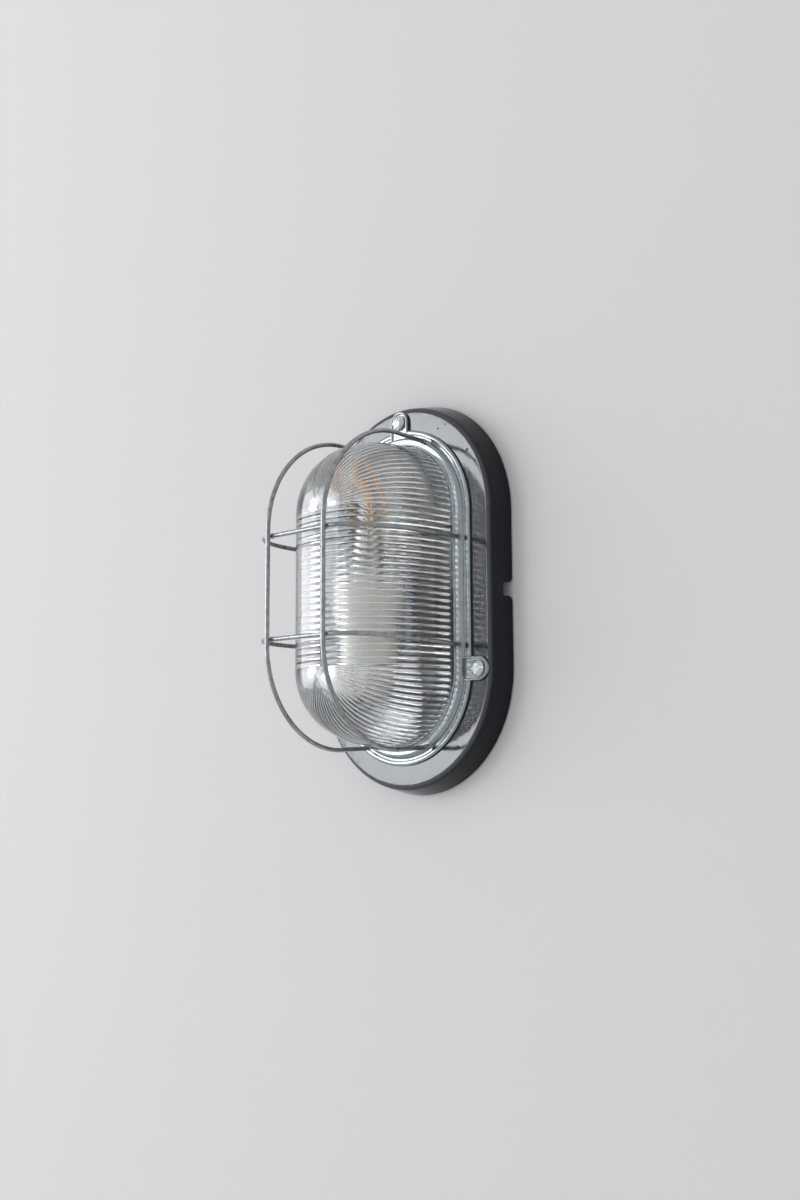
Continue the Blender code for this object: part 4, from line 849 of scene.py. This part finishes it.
def bead(inner, outer, level, height, steps=10):
    """A half-round bead between two half widths."""
    return [(inner + (outer - inner) * (1 - math.cos(math.pi * i / steps)) / 2,
             level + height * math.sin(math.pi * i / steps)) for i in range(steps + 1)]


def ear_outline(reach, radius):
    """A tongue with a round end about its screw, and straight sides that reach back into the ring."""
    turns = [math.pi * (k / 32 - 0.5) for k in range(33)]
    end = [(radius * math.cos(turn), radius * math.sin(turn)) for turn in turns]
    return [(-reach, -radius), *end, (-reach, radius)]


def ear_place(x, depth, z, angle):
    upright = Matrix.Translation((x, -depth, z)) @ Matrix.Rotation(math.pi / 2, 4, "X")
    return upright @ Matrix.Rotation(math.radians(angle), 4, "Z")


def ear_solid(x, z, angle):
    """A flat tongue with a half-round rim along its outer edge."""
    levels = [(0.0, 0.0), *bead(0.0, EAR_RIM, EAR_THICKNESS, EAR_RIM_HEIGHT)]
    bm = bmesh.new()
    loops = [[bm.verts.new((u, v, height))
              for u, v in ear_outline(EAR_OFFSET - CROWN_HALF - EAR_ROOT, EAR_RADIUS - inset)]
             for inset, height in levels]
    for near, far in zip(loops, loops[1:]):
        for i in range(len(near) - 1):
            bm.faces.new((near[i], near[i + 1], far[i + 1], far[i]))
    bm.faces.new(loops[0])
    bm.faces.new(loops[-1])
    bm.faces.new([loop[0] for loop in loops] + [loop[-1] for loop in reversed(loops)])
    bmesh.ops.recalc_face_normals(bm, faces=bm.faces)
    bmesh.ops.transform(bm, matrix=ear_place(x, RING_BACK - EAR_SINK, z, angle), verts=bm.verts)
    return from_bmesh("ear", bm)


def ear_pocket(x, z, angle):
    """A cutter that clears the ring's floor and edge bead where an ear goes."""
    outline = ear_outline(EAR_OFFSET - STEP_FOOT, EAR_RADIUS - EAR_POCKET_INSET)
    place = ear_place(x, RING_FLOOR - EAR_POCKET_DEPTH, z, angle)
    return extruded("ear_pocket", outline, 30.0 * MM, place)


def make_ring():
    crown_back = CROWN_FRONT - SHEET
    points = [
        Vector((RING_BORE, crown_back)),
        *bead(RING_BORE, RING_BORE + LIP, CROWN_FRONT, LIP_HEIGHT),
        *rounded([(RING_BORE + LIP, CROWN_FRONT), (CROWN_HALF, CROWN_FRONT, 1.9 * MM),
                  (STEP_FOOT + 0.5 * MM, RING_FLOOR, 0.8 * MM), (RING_HALF - EDGE, RING_FLOOR)],
                 steps=9)[1:-1],
        *bead(RING_HALF - EDGE, RING_HALF, RING_FLOOR, EDGE_HEIGHT, steps=14),
        Vector((RING_HALF, RING_BACK)),
        Vector((STEP_FOOT - SHEET, RING_BACK)),
        Vector((CROWN_HALF - SHEET, crown_back)),
        Vector((RING_BORE, crown_back)),
    ]
    ring = oval("pressed_ring", points, galvanised, stations=496)
    tools = [("DIFFERENCE", ear_pocket(*place)) for place in EARS.values()]
    tools += [("UNION", ear_solid(*place)) for place in EARS.values()]
    tools.append(("DIFFERENCE", cylinders("ear_screw_holes", EAR_HOLE, 0.0, 30.0 * MM, EAR_SCREWS)))
    keep(combined(ring, tools, 32.0), "ring")


# Wire cage

def quarter_bend(leg, corner, front, corner_depth, steps=36):
    """A wire's bend from its leg, away from the wall, to its run along the front."""
    turns = [math.pi / 2 * i / steps for i in range(steps + 1)]
    return [(leg - corner + corner * math.cos(turn), front - corner_depth + corner_depth * math.sin(turn))
            for turn in turns]


def wire(name, points, welds, weld_radius, node):
    nearest = {min(range(len(points)), key=lambda i: (Vector(points[i]) - Vector(weld)).length)
               for weld in welds}
    weld = [1.0 if i in nearest else 0.0 for i in range(len(points))]
    mesh = line_mesh(name, points, {"weld": ("FLOAT", weld)})
    piece = grown(name, mesh, ROUND_WIRE, {
        "Radius": WIRE + COAT, "Sides": 20, "Coat unevenness": COAT_UNEVENNESS, "Coat scale": 260.0,
        "Weld radius": weld_radius, "Finish": cage_wire}, 60.0)
    keep(piece, node)


def make_cage():
    front = CAGE_FRONT - WIRE - COAT_ROOM
    foot_z = CORE + math.sqrt(WELD_HALF ** 2 - WIRE_X ** 2)
    half = [(foot_z, WIRE_FOOT), *quarter_bend(foot_z + LEG_BULGE, CORNER_Z, front, CORNER_DEPTH)]
    flat_z = half[-1][0]
    middle = [(flat_z * (1 - k / 24), front) for k in range(1, 24)]
    for side, x in (("left", -WIRE_X), ("right", WIRE_X)):
        path = [(x, -depth, z) for z, depth in half + middle]
        path += [(x, -depth, -z) for z, depth in reversed(half)]
        wire("upright_wire_" + side, path, [path[0], path[-1]], UPRIGHT_WELD, "cage_wire_" + side)
    hoop_front = front - 2 * WIRE - HOOP_GAP
    leg = GLASS_HALF + HOOP_SIDE_GAP + WIRE
    half = [(WELD_HALF, WIRE_FOOT), *quarter_bend(leg, HOOP_CORNER_X, hoop_front, HOOP_CORNER_DEPTH)]
    flat_x = half[-1][0]
    middle = [(flat_x * (1 - k / 12), hoop_front) for k in range(1, 24)]
    for level, z, drop in (("upper", HOOP_Z, 0.0), ("lower", -HOOP_Z, LOWER_HOOP_DROP)):
        path = [(-x, -depth, z) for x, depth in half]
        path += [(-x, -depth, z) for x, depth in middle]
        path += [(x, -depth, z - drop * (hoop_front - depth) / (hoop_front - WIRE_FOOT))
                 for x, depth in reversed(half)]
        welds = [path[0], path[-1], (-WIRE_X, -hoop_front, z), (WIRE_X, -hoop_front, z)]
        wire("hoop_wire_" + level, path, welds, HOOP_WELD, "cage_hoop_" + level)


# Screws and nuts

def screw(name, node, form, turn, rotate=None):
    """A slotted and threaded screw on the place and axis of its node."""
    radius, head, height, pitch = form
    low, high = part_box(node)
    middle = (low + high) / 2
    if rotate is None:
        length = (high.y - low.y) - height
        place = Matrix.Translation((middle.x, low.y + height, middle.z))
    else:
        length = (high.z - low.z) - height
        place = Matrix.Translation((middle.x, middle.y, low.z + height)) @ rotate
    outline = [
        (0.0, height),
        (head * 0.35, height * 0.985),
        (head * 0.7, height * 0.86, head * 0.6),
        (head, height * 0.4, head * 0.25),
        (head, 0.0, head * 0.03),
        (radius, 0.0),
        (radius, -length + radius * 0.4),
        (radius * 0.6, -length),
        (0.0, -length),
    ]
    points = [tuple(point) for point in rounded(outline, steps=6)]
    threaded, rise = [], []
    depth_of_thread = 0.12 * radius
    for a, b in zip(points, points[1:]):
        threaded.append(a)
        rise.append(0.0)
        if a[0] == radius and b[0] == radius:
            steps = int((a[1] - b[1]) / pitch * 6)
            for k in range(1, steps):
                threaded.append((radius - depth_of_thread, a[1] + (b[1] - a[1]) * k / steps))
                rise.append(depth_of_thread)
    threaded.append(points[-1])
    rise.append(0.0)
    piece = grown(name, section_mesh(name, threaded, rise), SLOTTED_SCREW, {
        **ROUND, "Stations": 32, "Ribs": 1.0, "Rib twist": 1.0 / pitch, "Finish": zinc,
        "Slot width": head * 0.24, "Slot floor": height * 0.5, "Slot turn": -math.radians(turn),
        "Head radius": head}, 40.0)
    piece.data.transform(place)
    keep(piece, node)


def nut(name, node, form):
    width, bore = form
    low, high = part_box(node)
    middle = (low + high) / 2
    piece = grown(name, line_mesh(name, [(0, 0, 0), (0, 0, MM)]), HEXAGON_NUT, {
        "Width": width - 0.02 * MM, "Thickness": high.y - low.y, "Bore radius": bore, "Finish": zinc}, 30.0)
    piece.data.transform(Matrix.Translation((middle.x, high.y, middle.z)))
    keep(piece, node)


def make_fixings():
    for ear, turn in (("top", 40.0), ("lower_left", 15.0), ("lower_right", 4.0)):
        screw("ear_screw_" + ear, "ring_" + ear + "_screw", EAR_SCREW, turn)
        nut("ear_nut_" + ear, "ring_" + ear + "_nut", EAR_NUT)
    for side in ("left", "right"):
        screw("foot_screw_" + side, "bracket_" + side + "_screw", SMALL_SCREW, 30.0)
        nut("foot_nut_" + side, "bracket_" + side + "_nut", SMALL_NUT)
        screw("holder_screw_" + side, "lampholder_" + side + "_screw", SMALL_SCREW, 70.0,
              rotate=Matrix.Rotation(math.pi / 2, 4, "X"))
    screw("terminal_screw", "block_screw", BLOCK_SCREW, 0.0)
    nut("terminal_nut", "block_nut", BLOCK_NUT)


# Lampholder, bulb and filaments

def make_holder():
    skirt, waist, bore, edge = 22.6 * MM, 18.6 * MM, 14.6 * MM, 2.0 * MM
    waist_top = HOLDER_TOP - 30.0 * MM
    floor = HOLDER_TOP - 34.0 * MM
    points = rounded([
        (0.0, floor),
        (bore, floor, 0.8 * MM),
        (bore, HOLDER_TOP, 0.8 * MM),
        (skirt, HOLDER_TOP, 2.4 * MM),
        (skirt, waist_top, 2.4 * MM),
        (waist, waist_top - 2.0 * MM, 1.6 * MM),
        (waist, HOLDER_FOOT, edge),
        (0.0, HOLDER_FOOT),
    ], steps=6)
    body = turned("porcelain_holder", points, white_porcelain, LAMP_AXIS, stations=96)
    entry_x, entry_z, entry_depth = 5.0 * MM, HOLDER_FOOT + 14.0 * MM, 4.0 * MM
    entry_end = AXIS_DEPTH - math.sqrt(waist ** 2 - entry_x ** 2) + entry_depth
    entries = cylinders("lead_entries", 1.4 * MM, 5.0 * MM, entry_end,
                        [(-entry_x, entry_z), (entry_x, entry_z)], sides=24)
    keep(combined(body, [("DIFFERENCE", entries)]), "lampholder_body")


def bulb_outline(inset):
    """The envelope's neck, swell and globe, at a depth under its outer face."""
    radius, neck, top = 30.0 * MM, 12.4 * MM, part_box("bulb_cap")[1].z
    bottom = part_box("bulb_glass")[0].z
    points = [(neck - inset, bottom)]
    for i in range(25):
        share = i / 24
        swell = math.sin(share * math.pi / 2) ** 2
        points.append((neck + (radius - neck) * swell - inset, top + (GLOBE_Z - top) * share))
    for i in range(1, 25):
        turn = math.pi / 2 * i / 24
        reach = radius - inset
        points.append((reach * math.cos(turn) if i < 24 else 0.0, GLOBE_Z + reach * math.sin(turn)))
    return points


def make_bulb():
    inner = bulb_outline(0.8 * MM)
    points = inner[::-1] + bulb_outline(0.0) + [inner[0]]
    keep(turned("bulb_envelope", points, bulb_glass, LAMP_AXIS, stations=96), "bulb_glass")

    low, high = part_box("bulb_cap")
    pitch, thread_height, sheet = 3.6 * MM, 0.95 * MM, 0.4 * MM
    rim, root, inside = high.x - 0.25 * MM, high.x - 1.0 * MM, high.x - 1.5 * MM
    top, foot, shoulder = high.z, low.z, low.z + 3.0 * MM
    points = [(high.x - sheet, top), (rim, top), (rim, top - 1.5 * MM), (root, top - 2.0 * MM),
              (root, shoulder), (8.2 * MM, foot), (5.2 * MM, foot), (5.2 * MM, foot + sheet),
              (8.0 * MM, foot + sheet), (inside, shoulder + sheet), (inside, top - 2.4 * MM),
              (high.x - sheet, top - 1.6 * MM), (high.x - sheet, top)]
    cap = turned("bulb_screw_cap", points, zinc, LAMP_AXIS, stations=72,
                 thread=(pitch, thread_height, shoulder, top - 2.0 * MM))
    keep(cap, "bulb_cap")


def make_filaments():
    """Four round-ended sticks about the lamp's axis."""
    axis = Vector((0.0, -AXIS_DEPTH, 0.0))
    for number in range(1, 5):
        node = "filament_" + str(number)
        low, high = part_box(node)
        angle = math.pi / 4 + math.pi / 2 * (number - 1)
        out = Vector((math.cos(angle), math.sin(angle), 0.0))
        foot = axis + out * FILAMENT_FOOT + Vector((0.0, 0.0, low.z + FILAMENT_INSET))
        head = axis + out * FILAMENT_HEAD + Vector((0.0, 0.0, high.z - FILAMENT_INSET))
        end = [(FILAMENT * math.sin(math.pi / 2 * k / 5), FILAMENT * (1 - math.cos(math.pi / 2 * k / 5)))
               for k in range(6)]
        points = end + [(x, (head - foot).length - y) for x, y in reversed(end)]
        lean = (head - foot).to_track_quat("Z", "Y").to_matrix().to_4x4()
        stick = turned("glow_stick_" + str(number), points, filament,
                       Matrix.Translation(foot) @ lean @ UPRIGHT, stations=16)
        keep(stick, node)


make_base()
make_gasket()
make_dome()
make_ring()
make_cage()
make_fixings()
make_holder()
make_bulb()
make_filaments()

# Finishes on the nodes that are shown as they are
CARRIED = [
    (black_insulator, ["bulb_insulator"]),
    (bulb_glass, ["bulb_stem"]),
    (brass, ["bulb_tip", "lampholder_centre_contact", "lampholder_shell", "terminal_tube_left",
             "terminal_tube_right"]),
    (lead_blue, ["lead_right"]),
    (lead_brown, ["lead_left"]),
    (rubber, ["cable_grommet"]),
    (white_porcelain, ["terminal_block"]),
    (zinc, ["clamp_screw_left_lower", "clamp_screw_left_upper", "clamp_screw_right_lower",
            "clamp_screw_right_upper", "filament_spider", "lampholder_bracket"]),
]
for material, nodes in CARRIED:
    for node in nodes:
        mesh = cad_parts[node].data
        mesh.materials.clear()
        mesh.materials.append(material)


# Wall, floor, light and camera

def plane(name, corners, material):
    mesh = bpy.data.meshes.new(name)
    mesh.from_pydata(corners, [], [(0, 1, 2, 3)])
    mesh.materials.append(material)
    linked(name, mesh)


def paint(name, colour, one_sided):
    """Matt paint. The one-sided wall lets the light through from behind, so that the back can be seen."""
    material = bpy.data.materials.new(name)
    material.use_nodes = True
    maker, shader = opened(material)
    shader.inputs["Roughness"].default_value = 0.9
    shader.inputs["Specular IOR Level"].default_value = 0.1
    place = maker.add("ShaderNodeTexCoord").outputs["Object"]
    cloud = maker.add("ShaderNodeTexNoise", {"Vector": place, "Scale": 1.3, "Detail": 3.0}).outputs[0]
    ramp = maker.add("ShaderNodeValToRGB", {"Fac": cloud})
    for element, share in zip(ramp.color_ramp.elements, (0.97, 1.0)):
        element.color = (*[value * share for value in colour], 1.0)
    material.node_tree.links.new(ramp.outputs[0], shader.inputs["Base Color"])
    if one_sided:
        clear = maker.add("ShaderNodeBsdfTransparent").outputs[0]
        path = maker.add("ShaderNodeLightPath").outputs
        seen = maker.math("MAXIMUM", path["Is Camera Ray"],
                          maker.math("MAXIMUM", path["Is Glossy Ray"], path["Is Transmission Ray"]))
        behind = maker.add("ShaderNodeNewGeometry").outputs["Backfacing"]
        shown = maker.times(seen, maker.minus(1.0, behind))
        mixed = maker.add("ShaderNodeMixShader", {0: shown, 1: clear, 2: shader.outputs[0]}).outputs[0]
        output = material.node_tree.nodes["Material Output"]
        material.node_tree.links.new(mixed, output.inputs["Surface"])
    return material


WALL_Y = 0.0006
FLOOR_Z = -0.9
CEILING_Z = 3
SIDE = 4
wall_paint = paint("wall_paint", (0.800, 0.770, 0.762), True)
floor_paint = paint("floor_paint", (0.74, 0.74, 0.73), False)
plane("wall", [(-SIDE, WALL_Y, FLOOR_Z), (SIDE, WALL_Y, FLOOR_Z), (SIDE, WALL_Y, CEILING_Z),
               (-SIDE, WALL_Y, CEILING_Z)], wall_paint)
plane("floor", [(-SIDE, -SIDE, FLOOR_Z), (SIDE, -SIDE, FLOOR_Z), (SIDE, SIDE, FLOOR_Z),
                (-SIDE, SIDE, FLOOR_Z)], floor_paint)

# The room's light falls off from left to right. The camera sees the room at a strength of its own.
ROOM_LEFT = 0.66
ROOM_RIGHT = 0.60
ROOM_SEEN = 0.85
world = bpy.data.worlds.new("room")
world.use_nodes = True
bpy.context.scene.world = world
maker = Maker(world.node_tree)
way = maker.add("ShaderNodeTexCoord").outputs["Generated"]
sideways = maker.add("ShaderNodeSeparateXYZ", {0: way}).outputs["X"]
level = maker.add("ShaderNodeMapRange", {
    "Value": sideways, "From Min": -1.0, "From Max": 1.0,
    "To Min": ROOM_LEFT, "To Max": ROOM_RIGHT}).outputs[0]
direct = maker.add("ShaderNodeLightPath").outputs["Is Camera Ray"]
level = maker.math("MAXIMUM", level, maker.times(direct, ROOM_SEEN))
background = world.node_tree.nodes["Background"]
background.inputs["Color"].default_value = (0.97, 0.98, 1.0, 1.0)
world.node_tree.links.new(level, background.inputs["Strength"])


def window(name, place, aim, columns, rows, pane, bar, radiance):
    """A soft window: panes of even light, in columns and rows, with bars between them."""
    turn = (Vector(aim) - Vector(place)).to_track_quat("-Z", "Y")
    for column in range(columns):
        for row in range(rows):
            lamp = bpy.data.lights.new(name, "AREA")
            lamp.shape = "RECTANGLE"
            lamp.size, lamp.size_y = pane
            lamp.energy = radiance * math.pi * pane[0] * pane[1]
            lamp.color = (0.90, 0.945, 1.0)
            piece = linked(name, lamp)
            offset = Vector(((column - (columns - 1) / 2) * (pane[0] + bar),
                             (row - (rows - 1) / 2) * (pane[1] + bar), 0.0))
            piece.location = Vector(place) + turn @ offset
            piece.rotation_euler = turn.to_euler()


window("left_window", (-3.085, -2.499, 0.487), (0, 0, 0.0), 2, 1, (1.70, 2.00), 0.13, 3.8)

CAMERA_PLACE = (0.56921, -0.60034, -0.10470)
CAMERA_YAW = 44.369
CAMERA_PITCH = 7.159
CAMERA_ROLL = -0.252
camera = bpy.data.cameras.new("camera")
camera.sensor_width = 36.0
camera.lens = 37.45
camera.clip_start = 0.01
camera_object = linked("camera", camera)
turn = (Matrix.Rotation(math.radians(CAMERA_YAW), 4, "Z")
        @ Matrix.Rotation(math.radians(90 + CAMERA_PITCH), 4, "X")
        @ Matrix.Rotation(math.radians(CAMERA_ROLL), 4, "Z"))
camera_object.matrix_world = Matrix.Translation(CAMERA_PLACE) @ turn
bpy.context.scene.camera = camera_object
bpy.context.scene.view_settings.view_transform = "Standard"

# Light turns many times in the ribs of the dome before it comes out
cycles = bpy.context.scene.cycles
cycles.max_bounces = cycles.transmission_bounces = 24
cycles.glossy_bounces = 16
